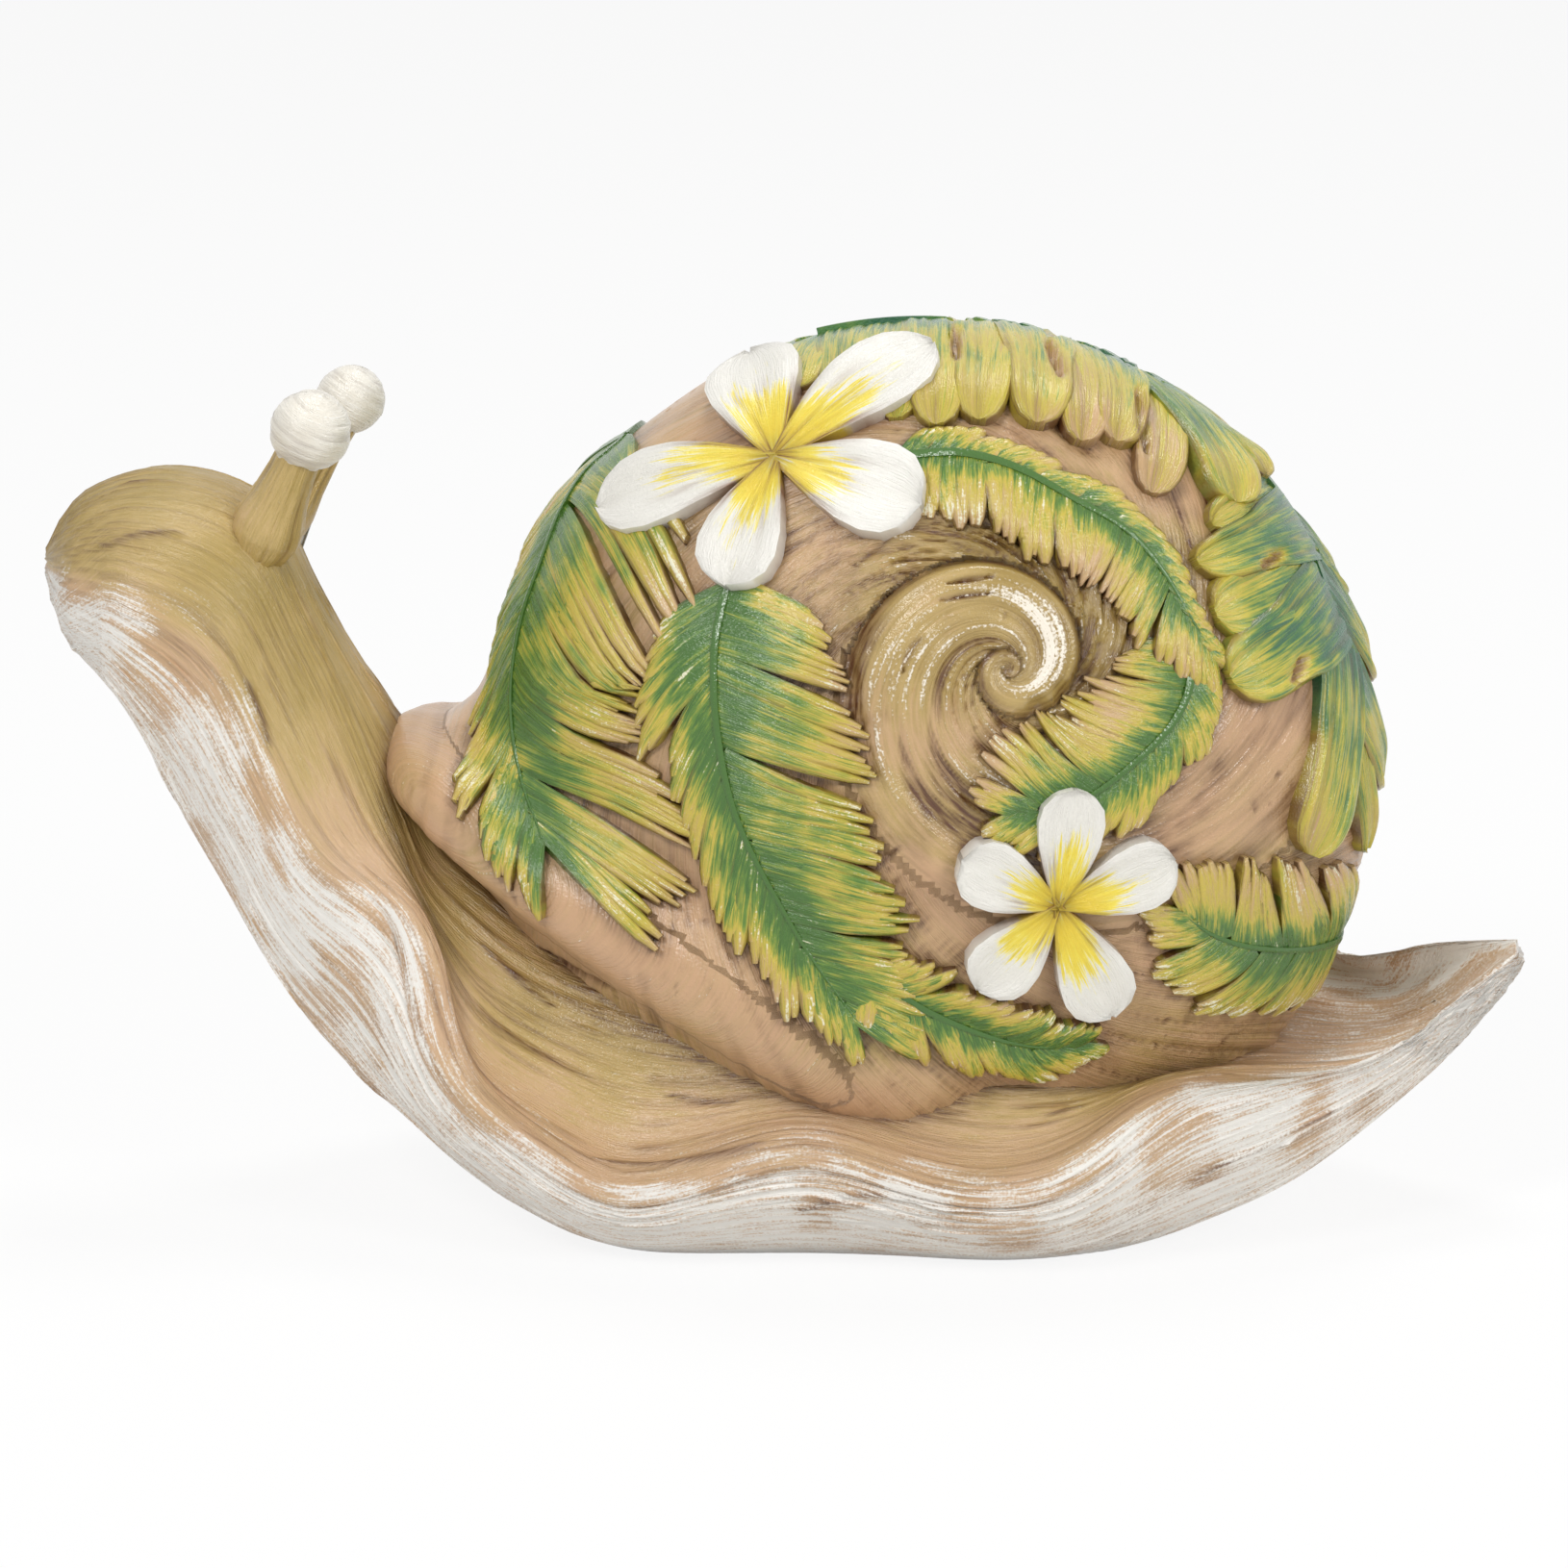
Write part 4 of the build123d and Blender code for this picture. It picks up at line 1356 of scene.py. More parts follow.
@dataclass
class PartRows:
    """Points on which parts are set out in a flat plan, each with its turn, stretch and paint values."""

    places: list[tuple[float, ...]] = field(default_factory=list)
    turns: list[float] = field(default_factory=list)
    reaches: list[tuple[float, ...]] = field(default_factory=list)
    values: list[tuple[float, float]] = field(default_factory=list)

    def add(
        self, place: tuple[float, ...], turn: float, reach: tuple[float, ...], values: tuple[float, float]
    ) -> None:
        """Adds one part.

        Args:
            place: Place of its root in the plan.
            turn: Direction in radians.
            reach: Length, width and height.
            values: Shade and gold of its paint.
        """
        self.places.append(place)
        self.turns.append(turn)
        self.reaches.append(reach)
        self.values.append(values)

    def set_out(
        self, tongue: Tongue, paint: ResinPaint, jitters: tuple[float, float], seed: int
    ) -> bpy.types.Mesh:
        """Runs the node tree over the points.

        Args:
            tongue: The part that is repeated.
            paint: Its paint.
            jitters: Unevenness of turns, in radians, and of lengths, as a share.
            seed: Number that picks the unevenness.

        Returns:
            A flat plain mesh in millimetres, with the part's and the points' values.
        """
        mesh = bpy.data.meshes.new("rows")
        mesh.from_pydata(self.places, [], [])
        write_attribute(mesh, "turn", np.array(self.turns))
        write_attribute(mesh, "reach", np.array(self.reaches))
        for number, name in enumerate(("shade", "gold")):
            write_attribute(mesh, name, np.array(self.values)[:, number])
        part = tongue.build()
        thing = new_object("rows", mesh)
        nodes = thing.modifiers.new("parts", "NODES")
        nodes.node_group = parts_tree()
        wanted = {
            "Part": part,
            "Turn Jitter": jitters[0],
            "Reach Jitter": jitters[1],
            "Seed": seed,
            "Paint": paint.material(),
        }
        for socket in nodes.node_group.interface.items_tree:
            if socket.in_out == "INPUT" and socket.name in wanted:
                nodes[socket.identifier] = wanted[socket.name]
        result = baked_mesh(thing)
        bpy.data.objects.remove(part)
        return result


def flat_points(mesh: bpy.types.Mesh) -> np.ndarray:
    """Points of a flat plan, whose units are millimetres already."""
    return mesh_points(mesh) * MM


def mirrored(mesh: bpy.types.Mesh) -> bpy.types.Mesh:
    """Mirrors a mesh to the right flank and turns its faces out again.

    Args:
        mesh: The mesh.

    Returns:
        The same mesh.
    """
    move_points(mesh, mesh_points(mesh) * (1, -1, 1))
    mesh.flip_normals()
    return mesh


def midrib_mesh(
    length: float, half_width: float, height: float, values: tuple[float, float]
) -> bpy.types.Mesh:
    """A raised midrib in a flat plan, tapered to the tip.

    Args:
        length: Length in millimetres.
        half_width: Half width at the stem.
        height: Height of its ridge.
        values: Shade and gold of its paint.

    Returns:
        A closed mesh with the values that leaflets have.
    """
    rows = max(8, round(length / 1.2))
    out = np.linspace(0, 1, rows)
    taper = np.interp(out, (0, 0.7, 1), (1, 0.6, 0.25))
    ring = np.array(((-1, -1.0), (-1, 0.72), (-0.45, 0.93), (0, 1.0), (0.45, 0.93), (1, 0.72), (1, -1.0)))
    wander = 0.35 * np.sin(out * 9.0)
    points = np.stack(
        (
            np.repeat(out * length, len(ring)),
            (taper[:, None] * half_width * ring[:, 0] + wander[:, None]).ravel(),
            np.where(ring[:, 1] < 0, -1.0, ring[:, 1] * height * (0.75 + 0.25 * taper[:, None])).ravel(),
        ),
        axis=1,
    )
    count = len(ring)
    faces = grid_quads(rows, count, closed=True).tolist()
    faces += [list(range(count)), list(range((rows - 1) * count, rows * count))]
    mesh = plan_mesh("midrib", points, faces)
    for name, value in (("along", 0.1), ("across", 0), ("shade", values[0]), ("gold", values[1])):
        write_attribute(mesh, name, np.full(len(points), float(value)))
    write_attribute(mesh, "ridge", np.tile(np.where(ring[:, 1] < 0, -1, ring[:, 1]), rows))
    return mesh


def joined(meshes: list[bpy.types.Mesh]) -> bpy.types.Mesh:
    """Joins meshes that have the same values into one.

    Args:
        meshes: Meshes to join.

    Returns:
        One mesh.
    """
    things = [new_object("part", mesh) for mesh in meshes]
    with bpy.context.temp_override(active_object=things[0], selected_editable_objects=things):
        bpy.ops.object.join()
    mesh = things[0].data
    bpy.data.objects.remove(things[0])
    return mesh


@dataclass
class Frond:
    """A palm frond laid on the shell: a midrib with narrow leaflets, in bundles with slits between them."""

    name: str
    midrib_px: Pairs
    reaches: tuple[float, float]
    turns: tuple[float, float]
    gold: tuple[float, float]
    bundles: int
    seed: int
    pitch: float = 1.15
    leaflet_width: float = 2.9
    slit_share: float = 0.09
    fan: float = 8.0
    curl: float = 0.010
    profile: tuple[float, ...] = (0.55, 0.85, 1.0, 0.95, 0.55)
    tip_turn: float = 20.0

    def rows(self, length: float) -> PartRows:
        """Sets out the leaflets along both sides of the midrib.

        Args:
            length: Length of the midrib.

        Returns:
            The leaflets' points.
        """
        rows = PartRows()
        chance = np.random.default_rng(self.seed)
        count = round(length / self.pitch)
        for side, reach, turn, gold in zip((1, -1), self.reaches, self.turns, self.gold):
            shift = chance.uniform(0, 1)
            longer = chance.uniform(0.86, 1.10, self.bundles + 2)
            for step in range(count + 1):
                share = step / count
                bundle = share * self.bundles + shift
                number, inner = int(bundle), bundle % 1
                if inner > 1 - self.slit_share:
                    continue
                body = float(np.interp(share, (0, 0.15, 0.5, 0.8, 1), self.profile))
                lean = turn + 8 * (0.5 - share) + self.fan * (inner - 0.5)
                lean += 24 * max(0, 1 - share / 0.3)
                lean += (self.tip_turn - lean) * max(0, (share - 0.72) / 0.28) ** 1.5
                span = reach * body * longer[number] * (0.92 + 0.08 * inner) * chance.uniform(0.88, 1.04)
                place = (share * length, side * 0.3, chance.uniform(-0.12, 0.12))
                width = self.leaflet_width * (1 - 0.25 * share) * chance.uniform(0.85, 1.3)
                values = (chance.uniform(0, 1), gold)
                rows.add(place, side * math.radians(lean), (span, width, 1.0), values)
        return rows

    def build(self, flank: Flank) -> tuple[bpy.types.Object, np.ndarray]:
        """Makes the frond on one flank.

        Args:
            flank: Flank of the shell.

        Returns:
            The piece and its points.
        """
        seen = even_line(np.array(self.midrib_px, float), 6)
        strip = SkinStrip(FORM.cast_pixels(seen), max(self.reaches) + 8)
        leaflets = self.rows(strip.length).set_out(LEAFLET, FROND_PAINT, (0.06, 0.05), self.seed)
        rib = midrib_mesh(strip.length, 0.70, 2.25, (0.5, 1.0))
        mesh = joined([leaflets, rib])
        flat = flat_points(mesh)
        names = ("along", "across", "ridge", "shade", "gold")
        along, across, ridge, shade, gold = (read_attribute(mesh, name) for name in names)
        reach = max(self.reaches)
        crown = 0.55 * np.sin(np.clip(np.abs(flat[:, 1]) / reach, 0, 1) * np.pi)
        ripple = 0.5 * (lattice_noise(flat[:, :2] / (9.0, 6.0), self.seed) - 0.5)
        top = flat[:, 2] > 0
        flow = np.stack((along * 14, across * 1.2, shade * 60), axis=1)
        parted = 0.25 + 0.75 * smooth_step(0.45, 0.95, along)
        held = np.maximum(ridge, 0.3)
        flat[:, 2] = np.where(top, flat[:, 2] * (parted + (1 - parted) / held) + crown + ripple, flat[:, 2])
        flat[:, 2] *= 0.4 + 0.6 * smooth_step(0.0, 0.14, flat[:, 0] / strip.length)
        flat[:, 0] += self.curl * flat[:, 1] ** 2
        move_points(mesh, strip.place(flat))
        fade = np.clip(along / np.clip(gold, 0.05, None), 0, 2)
        fade = 0.42 * smooth_step(0.12, 0.95, fade) + 0.32 * np.clip(fade - 0.9, 0, None)
        patches = lattice_noise(flat[:, :2] / (12.0, 7.0), self.seed + 4) - 0.5
        tone = fade + 0.16 * (shade - 0.5) + 0.42 * patches + 0.06
        tone = tone + 0.20 * smooth_step(0.85, 1.0, along)
        hollow = smooth_step(0.92, 0.55, ridge)
        wash = 0.8 * hollow * smooth_step(0.2, 0.7, along) + 0.2 * hollow
        ends = smooth_step(0.5, 1.0, along)
        # Painted glints: pale patches at random on the leaflets' ridges.
        painted_glints = smooth_step(0.55, 0.8, lattice_noise(flat[:, :2] / (7.0, 5.0), self.seed + 6))
        dry = 0.10 + (0.22 * ends + 0.22 * painted_glints) * smooth_step(0.75, 1.0, ridge)
        paint_mesh(mesh, FROND_PAINT, np.clip(tone, 0, 1), wash, dry, flow)
        if flank is Flank.RIGHT:
            mirrored(mesh)
        node = f"{flank.label}_{self.name}"
        return place_piece(mesh, f"{node}_blade", "frond_resin", node), mesh_points(mesh)


@dataclass
class LobedLeaf:
    """A broad leaf over the crest, with thick rounded lobes to either side of its midrib."""

    name: str
    midrib: Pairs
    lobes: tuple[tuple[tuple[float, float], tuple[float, float], float, float, float], ...]
    twins: bool
    holes_px: tuple[Pairs, ...]
    seed: int
    reach: float = 46.0
    hole_width: float = 5.0
    hole_depth: float = 2.2

    def rows(self, strip: SkinStrip) -> PartRows:
        """Sets out the lobes, each from its root on the midrib to its tip.

        Args:
            strip: Chart of the skin along the midrib.

        Returns:
            The lobes' points; a leaf with twins has each lobe on the hidden side too.
        """
        rows = PartRows()
        chance = np.random.default_rng(self.seed)
        for root_px, tip_px, width, gold, height in self.lobes:
            root, tip = strip.read(FORM.cast_pixels(np.array((root_px, tip_px), float)))
            turn = math.atan2(tip[1], tip[0] - root[0])
            reach = (math.dist((root[0], 0), tip), width, height)
            for side in (1, -1) if self.twins else (1,):
                place = (root[0], 0.0, chance.uniform(-0.2, 0.2))
                rows.add(place, side * turn, reach, (chance.uniform(0, 1), gold))
        return rows

    def build(self) -> tuple[bpy.types.Object, np.ndarray]:
        """Makes the leaf.

        Returns:
            The piece and its points.
        """
        strip = SkinStrip(FORM.around(self.midrib), self.reach)
        lobes = self.rows(strip).set_out(LOBE, CREST_PAINT, (0.0, 0.0), self.seed)
        mesh = joined([lobes, midrib_mesh(strip.length, 0.9, 1.7, (0.4, 0.15))])
        flat = flat_points(mesh)
        names = ("along", "across", "ridge", "shade", "gold")
        along, across, ridge, shade, gold = (read_attribute(mesh, name) for name in names)
        flow = np.stack((along * 24, across * 6, shade * 90), axis=1)
        veins = combing(flow, 1.1, 18.0, self.seed)
        parted = smooth_step(0.25, 0.6, along)
        held = np.maximum(ridge, 0.3)
        level = flat[:, 2] * (parted + (1 - parted) / held) + 0.26 * veins
        top = flat[:, 2] > 0
        flat[:, 2] = np.where(top, level, flat[:, 2])
        points = strip.place(flat)
        hole = cuts(points, self.holes_px, self.hole_width) * top
        move_points(mesh, points - FORM.dome_normals(points) * (self.hole_depth * hole)[:, None])
        patches = lattice_noise(points / 9.0, self.seed) - 0.5
        tone = gold + 0.55 * along + 0.14 * (shade - 0.5) + 0.36 * patches + 1.2 * hole
        wash = 0.8 * smooth_step(0.94, 0.80, ridge) * parted
        wash = wash + 0.4 * smooth_step(-0.1, -0.8, veins) + 0.5 * hole
        dry = 0.05 + 0.18 * smooth_step(0.8, 1.0, along)
        paint_mesh(mesh, CREST_PAINT, np.clip(tone, 0, 1), np.clip(wash, 0, 0.95), dry, flow)
        return place_piece(mesh, f"{self.name}_blade", "crest_leaf_resin", self.name), mesh_points(mesh)


@dataclass
class Flower:
    """A five-petalled flower bonded on the shell, its petals set out as they are seen."""

    name: str
    middles_px: dict[Flank, tuple[float, float]]
    petals: tuple[tuple[float, float, float], ...]
    seed: int

    def build(self, flank: Flank) -> tuple[bpy.types.Object, np.ndarray]:
        """Makes the flower on one flank.

        Args:
            flank: Flank of the shell.

        Returns:
            The piece and its points.
        """
        seat = FORM.cast_pixels(np.array([self.middles_px[flank]], float))[0]
        normal = FORM.dome_normals(seat[None])[0]
        right = unit(VIEW.right - normal * (VIEW.right @ normal))
        up = np.cross(normal, right)
        rows = PartRows()
        chance = np.random.default_rng(self.seed)
        for turn, length, width in self.petals:
            seen = VIEW.right * math.cos(math.radians(turn)) + VIEW.up * math.sin(math.radians(turn))
            lying = seen - VIEW.back * ((seen @ normal) / (VIEW.back @ normal))
            aim = math.atan2(lying @ up, lying @ right)
            values = (chance.uniform(0, 1), 0.5)
            stretch = np.linalg.norm(lying) * VIEW.pixel
            rows.add((0.0, 0.0, 0.0), aim, (length * stretch, width * VIEW.pixel, 1.0), values)
        mesh = rows.set_out(PETAL, PETAL_PAINT, (0.0, 0.0), self.seed)
        flat = flat_points(mesh)
        names = ("along", "across", "ridge", "shade")
        along, across, ridge, shade = (read_attribute(mesh, name) for name in names)
        flow = np.stack((along * 26, across * 7, shade * 80), axis=1)
        veins = combing(flow, 1.6, 14.0, self.seed)
        wavy = 0.6 * (lattice_noise(flow / (9.0, 5.0, 3.0), self.seed + 3) - 0.5)
        flat[:, 2] += np.where(flat[:, 2] > 0, 0.16 * veins + wavy, 0)
        above = seat + flat[:, :1] * right + flat[:, 1:2] * up + normal * 30
        skin = FORM.cast(above, np.broadcast_to(-normal, above.shape))
        lean = unit(FORM.dome_normals(skin) + normal)
        move_points(mesh, skin + lean * flat[:, 2:])
        spread = 0.30 + 0.30 * (1 - across ** 2)
        tone = 0.5 * along / spread + 0.1 * (shade - 0.5) + 0.10 * across
        bare = smooth_step(0.20, 0.06, along) * smooth_step(0.1, 0.5, veins)
        tone = np.clip(0.46 + 1.7 * (tone - 0.46) + 0.6 * bare, -0.2, 1.2)
        edge = smooth_step(0.72, 1.0, np.abs(across)) * smooth_step(0.6, 0.25, along)
        crease = smooth_step(0.20, 0.02, along) * 0.5 + 0.6 * edge
        # Painted shade: brown on the petals' walls and foot, beneath their raised edges.
        painted_shade_under = smooth_step(0.5, -0.6, ridge)
        lines = smooth_step(-0.2, -0.7, veins) * smooth_step(0.75, 0.2, along) * 0.75
        wash = np.clip(crease + 0.5 * painted_shade_under + lines, 0, 0.9)
        dry = 0.05 + 0.12 * smooth_step(0.5, 0.9, along)
        paint_mesh(mesh, PETAL_PAINT, tone, wash, dry, flow)
        if flank is Flank.RIGHT:
            mirrored(mesh)
        node = f"{flank.label}_{self.name}"
        return place_piece(mesh, f"{node}_petals", "flower_resin", node), mesh_points(mesh)


@dataclass
class BodyCast:
    """The body casting, from snout to tail: sections like those of the CAD body, combed and painted."""

    length: float = 250.0
    head_top: float = 126.5
    half_width: float = 54.0
    rings: int = 152
    points_around: int = 630
    comb_width: float = 1.05
    comb_length: float = 24.0
    comb_depth: float = 0.26
    rim_roll: float = 1.5
    trough: float = 1.6
    cut_width: float = 1.0
    cut_depth: float = 0.7
    stroke_spacing: float = 0.45
    snout_girth: float = 110.0
    # Level up to which the white paint goes, by station
    white_edge: Pairs = (
        (0, 3.0), (3, 2.9), (5, 2.65), (7.5, 2.75), (9, 3.3), (10, 3.4), (17, 3.4), (19, 3.9), (23, 4.2)
    )
    # Belly point and back point in shares of length and head top, half width, left and right rim, flare, dish
    station_shares: tuple[tuple[float, ...], ...] = (
        (-0.492, 0.836, -0.492, 0.868, 0.05, 0.50, 0.50, 0.0, 0.0),
        (-0.485, 0.781, -0.481, 0.912, 0.18, 0.50, 0.50, 0.0, 0.0),
        (-0.466, 0.724, -0.457, 0.956, 0.28, 0.50, 0.50, 0.0, 0.0),
        (-0.443, 0.674, -0.425, 0.976, 0.35, 0.50, 0.50, 0.0, 0.0),
        (-0.426, 0.620, -0.380, 0.970, 0.375, 0.50, 0.50, 0.0, 0.0),
        (-0.412, 0.565, -0.342, 0.930, 0.375, 0.50, 0.50, 0.0, 0.0),
        (-0.395, 0.500, -0.317, 0.840, 0.37, 0.50, 0.50, 0.0, 0.0),
        (-0.373, 0.425, -0.291, 0.745, 0.40, 0.48, 0.48, 0.05, 0.0),
        (-0.346, 0.340, -0.256, 0.640, 0.51, 0.52, 0.48, 0.35, 0.0),
        (-0.303, 0.252, -0.216, 0.537, 0.68, 0.63, 0.52, 0.8, 0.0),
        (-0.243, 0.152, -0.168, 0.450, 0.79, 0.33, 0.44, 1.0, 0.0),
        (-0.178, 0.056, -0.120, 0.411, 0.88, 0.27, 0.38, 1.0, 0.0),
        (-0.112, 0.000, -0.072, 0.395, 0.95, 0.25, 0.29, 1.0, 0.0),
        (-0.048, -0.012, -0.020, 0.387, 0.99, 0.35, 0.27, 1.0, 0.0),
        (0.024, -0.012, 0.032, 0.372, 0.98, 0.44, 0.36, 1.0, 0.0),
        (0.096, -0.012, 0.096, 0.356, 0.99, 0.37, 0.44, 1.0, 0.0),
        (0.160, -0.012, 0.160, 0.332, 1.00, 0.36, 0.41, 1.0, 0.05),
        (0.220, 0.000, 0.216, 0.292, 0.95, 0.52, 0.49, 1.0, 0.3),
        (0.280, 0.032, 0.270, 0.257, 0.86, 0.88, 0.90, 1.0, 0.7),
        (0.344, 0.088, 0.326, 0.236, 0.73, 1.06, 1.42, 1.0, 1.0),
        (0.408, 0.174, 0.386, 0.230, 0.54, 1.32, 2.45, 1.0, 1.0),
        (0.454, 0.246, 0.434, 0.260, 0.35, 1.62, 3.60, 1.0, 1.0),
        (0.480, 0.300, 0.467, 0.311, 0.22, 1.60, 2.80, 1.0, 1.0),
        (0.496, 0.338, 0.490, 0.352, 0.09, 0.80, 0.80, 1.0, 1.0),
    )
    cuts_px: tuple[Pairs, ...] = (
        ((100, 573), (130, 560), (188, 553)),
        ((256, 705), (272, 745), (280, 775)),
        ((618, 1212), (680, 1218), (760, 1206), (800, 1195)),
        ((692, 1137), (730, 1144), (765, 1149)),
        ((500, 980), (540, 1020), (572, 1045)),
        ((830, 1258), (900, 1245), (990, 1262)),
        ((1240, 1225), (1290, 1200), (1340, 1185)),
        ((1090, 1160), (1120, 1152)),
    )

    def corners(self, row: np.ndarray) -> tuple[np.ndarray, np.ndarray, np.ndarray]:
        """Corners of one section, from the belly's middle over the right flank and back.

        Args:
            row: Station values.

        Returns:
            Corners across and up, the belly point, and the direction of the section's depth.
        """
        belly = np.array((row[0] * self.length, 0, row[1] * self.head_top))
        back = np.array((row[2] * self.length, 0, row[3] * self.head_top))
        depth = np.linalg.norm(back - belly)
        flare, dish = row[7], row[8]
        halves = []
        for rim in (row[6], row[5]):
            upper = between(between(0.74, rim + 0.08, flare), between(1, rim, 0.5), dish)
            shoulder = between(between(0.93, 0.72, flare), between(1, rim, 0.1), dish)
            halves.append(
                np.array(
                    (
                        (between(0.30, 0.62, flare), 0),
                        (between(0.84, 0.89, flare), between(0.22, 0.48 * rim, flare)),
                        (1, rim),
                        (between(0.86, 0.87, flare), upper),
                        (between(between(0.52, 0.72, flare), 0.45, dish), shoulder),
                    )
                )
                * (row[4] * self.half_width, depth)
            )
        ring = np.concatenate((halves[0], [(0, depth)], halves[1][::-1] * (-1, 1)))
        return ring, belly, (back - belly) / depth

    def sections(self) -> tuple[np.ndarray, np.ndarray, np.ndarray]:
        """Points of all sections.

        Returns:
            Points by ring and place, the level of each place from belly (0) to back (6), and the station
            number of each ring.
        """
        table = np.array(self.station_shares)
        middle = (table[:, :2] + table[:, 2:4]) / 2 * (self.length, self.head_top)
        run = run_lengths(middle)
        at = np.linspace(0, run[-1], self.rings)
        rows = cubic_through(run, table, at)
        rows[:, 7:] = np.clip(rows[:, 7:], 0, 1)
        rows[:, 4] = np.maximum(rows[:, 4], 0.02)
        spans = np.array((2.0, 1.0, 0.75, 0.45, 0.55, 0.8))
        spans = np.concatenate((spans[1:], spans[:0:-1]))
        belly_points = self.points_around // 7
        levels = np.interp(
            np.linspace(0, spans.sum(), self.points_around - belly_points),
            np.concatenate(([0], np.cumsum(spans))),
            np.arange(11),
        )
        points = np.zeros((self.rings, self.points_around, 3))
        for number, row in enumerate(rows):
            ring, belly, upward = self.corners(row)
            chords = run_lengths(ring)
            flank = cubic_through(chords, ring, np.interp(levels, np.arange(11), chords))
            sole = np.linspace(ring[-1], ring[0], belly_points + 2)[1:-1]
            outline = np.concatenate((flank, sole))
            points[number] = belly + outline[:, :1] * (0, 1, 0) + outline[:, 1:] * upward
        around = np.concatenate((6 - np.abs(levels - 5), np.zeros(belly_points)))
        return points, around, np.interp(at, run, np.arange(len(table)))

    def build(self) -> bpy.types.Object:
        """Makes, combs and paints the body.

        Returns:
            The piece.
        """
        grid, level, station = self.sections()
        rings, around = grid.shape[:2]
        flat = grid.reshape(-1, 3)
        flat[:, 2] = np.maximum(flat[:, 2], 0)
        ends = np.stack((grid[0].mean(0), grid[-1].mean(0)))
        points = np.concatenate((flat, ends))
        faces = grid_quads(rings, around, closed=True)[:, ::-1].tolist()
        last = (rings - 1) * around
        for i in range(around):
            after = (i + 1) % around
            faces.append((i, after, len(flat)))
            faces.append((last + after, last + i, len(flat) + 1))
        mesh = new_mesh("body_casting", points, faces)
        normals = mesh_normals(mesh)
        run = run_lengths(grid.mean(1))
        along = np.append(np.repeat(run, around), (run[0], run[-1]))
        girth = np.linalg.norm(np.diff(grid, axis=1), axis=2).sum(1)
        spacing = self.stroke_spacing * np.minimum(1, girth / self.snout_girth)
        across = np.append((spacing[:, None] * (np.arange(around) - level.argmax())).ravel(), (0, 0))
        q = np.append(np.tile(level, rings), (3, 3))
        place = np.append(np.repeat(station, around), (station[0], station[-1]))
        flow = np.stack((along, across, np.zeros(len(points))), axis=1)
        bent = flow + np.stack((0 * along, 2.5 * lattice_noise(points / 30.0, 2), 0 * along), axis=1)
        comb = combing(bent, self.comb_width, self.comb_length, 21)
        smoothness = 0.45 + 0.55 * smooth_step(0.35, 0.6, lattice_noise(points / 24.0, 9))
        cut = cuts(points, self.cuts_px, self.cut_width)
        scratches = smooth_step(0.80, 0.90, lattice_noise(bent[:, :2] / (16.0, 1.4), 31))
        standing = smooth_step(0.5, 3.0, points[:, 2])
        lumps = 0.3 * (lattice_noise(points / 14.0, 12) - 0.5)
        lift = self.comb_depth * comb * smoothness + lumps - self.cut_depth * cut - 0.35 * scratches
        skirt = smooth_step(8.2, 9.5, place) * smooth_step(18.5, 17.0, place)
        fold = 1 + 2.2 * np.exp(-(((place - 9.7) / 0.9) ** 2))
        lift = lift + skirt * fold * self.rim_roll * np.exp(-(((q - 3.0) / np.where(q < 3, 0.5, 0.2)) ** 2))
        lift = lift - skirt * self.trough * (0.4 + 0.6 * fold) * np.exp(-(((q - 3.85) / 0.45) ** 2))
        move_points(mesh, points + normals * (lift * standing)[:, None])
        limit = np.interp(place, *np.array(self.white_edge).T)
        patch = 1.1 * (lattice_noise(flow[:, :2] / (9.0, 5.0), 41) - 0.5)
        white = smooth_step(0.9, -0.6, q - limit + patch)
        # Painted light: the inside of the tail lies in the shell's shadow, so it gets more pale paint and
        # less brown.
        painted_light_tail = smooth_step(18.0, 20.0, place) * smooth_step(3.2, 4.0, q)
        catch = 0.28 * smooth_step(0.0, 0.7, comb)
        dry = 0.08 + 0.50 * white + catch * (0.35 + 0.65 * white) + 0.30 * painted_light_tail
        dry = dry - 0.20 * smooth_step(0.5, 0.85, lattice_noise(points / 8.0, 43)) * white
        glaze = smooth_step(3.9, 5.0, q) * smooth_step(19.5, 17.5, place)
        neck = smooth_step(8.5, 6.5, place) * smooth_step(2.7, 3.6, q)
        tone = 0.12 + 0.75 * np.maximum(glaze, neck) * (0.45 + 0.75 * lattice_noise(points / 15.0, 47))
        # Brown washes fill the cuts, scratches and comb grooves; where the body meets the shell the brown is
        # painted shade as well.
        beside = np.clip(FORM.distance(points), 0, None)
        wash = 0.85 * np.exp(-beside / 1.6) + 0.85 * cut + 0.35 * scratches
        wash = wash + 0.50 * smooth_step(-0.1, -0.8, comb) * smoothness
        wash = wash * (1 - 0.8 * painted_light_tail)
        paint_mesh(mesh, BODY_PAINT, tone, np.clip(wash, 0, 0.9), dry, flow)
        return place_piece(mesh, "body_casting", "body_resin", "body")


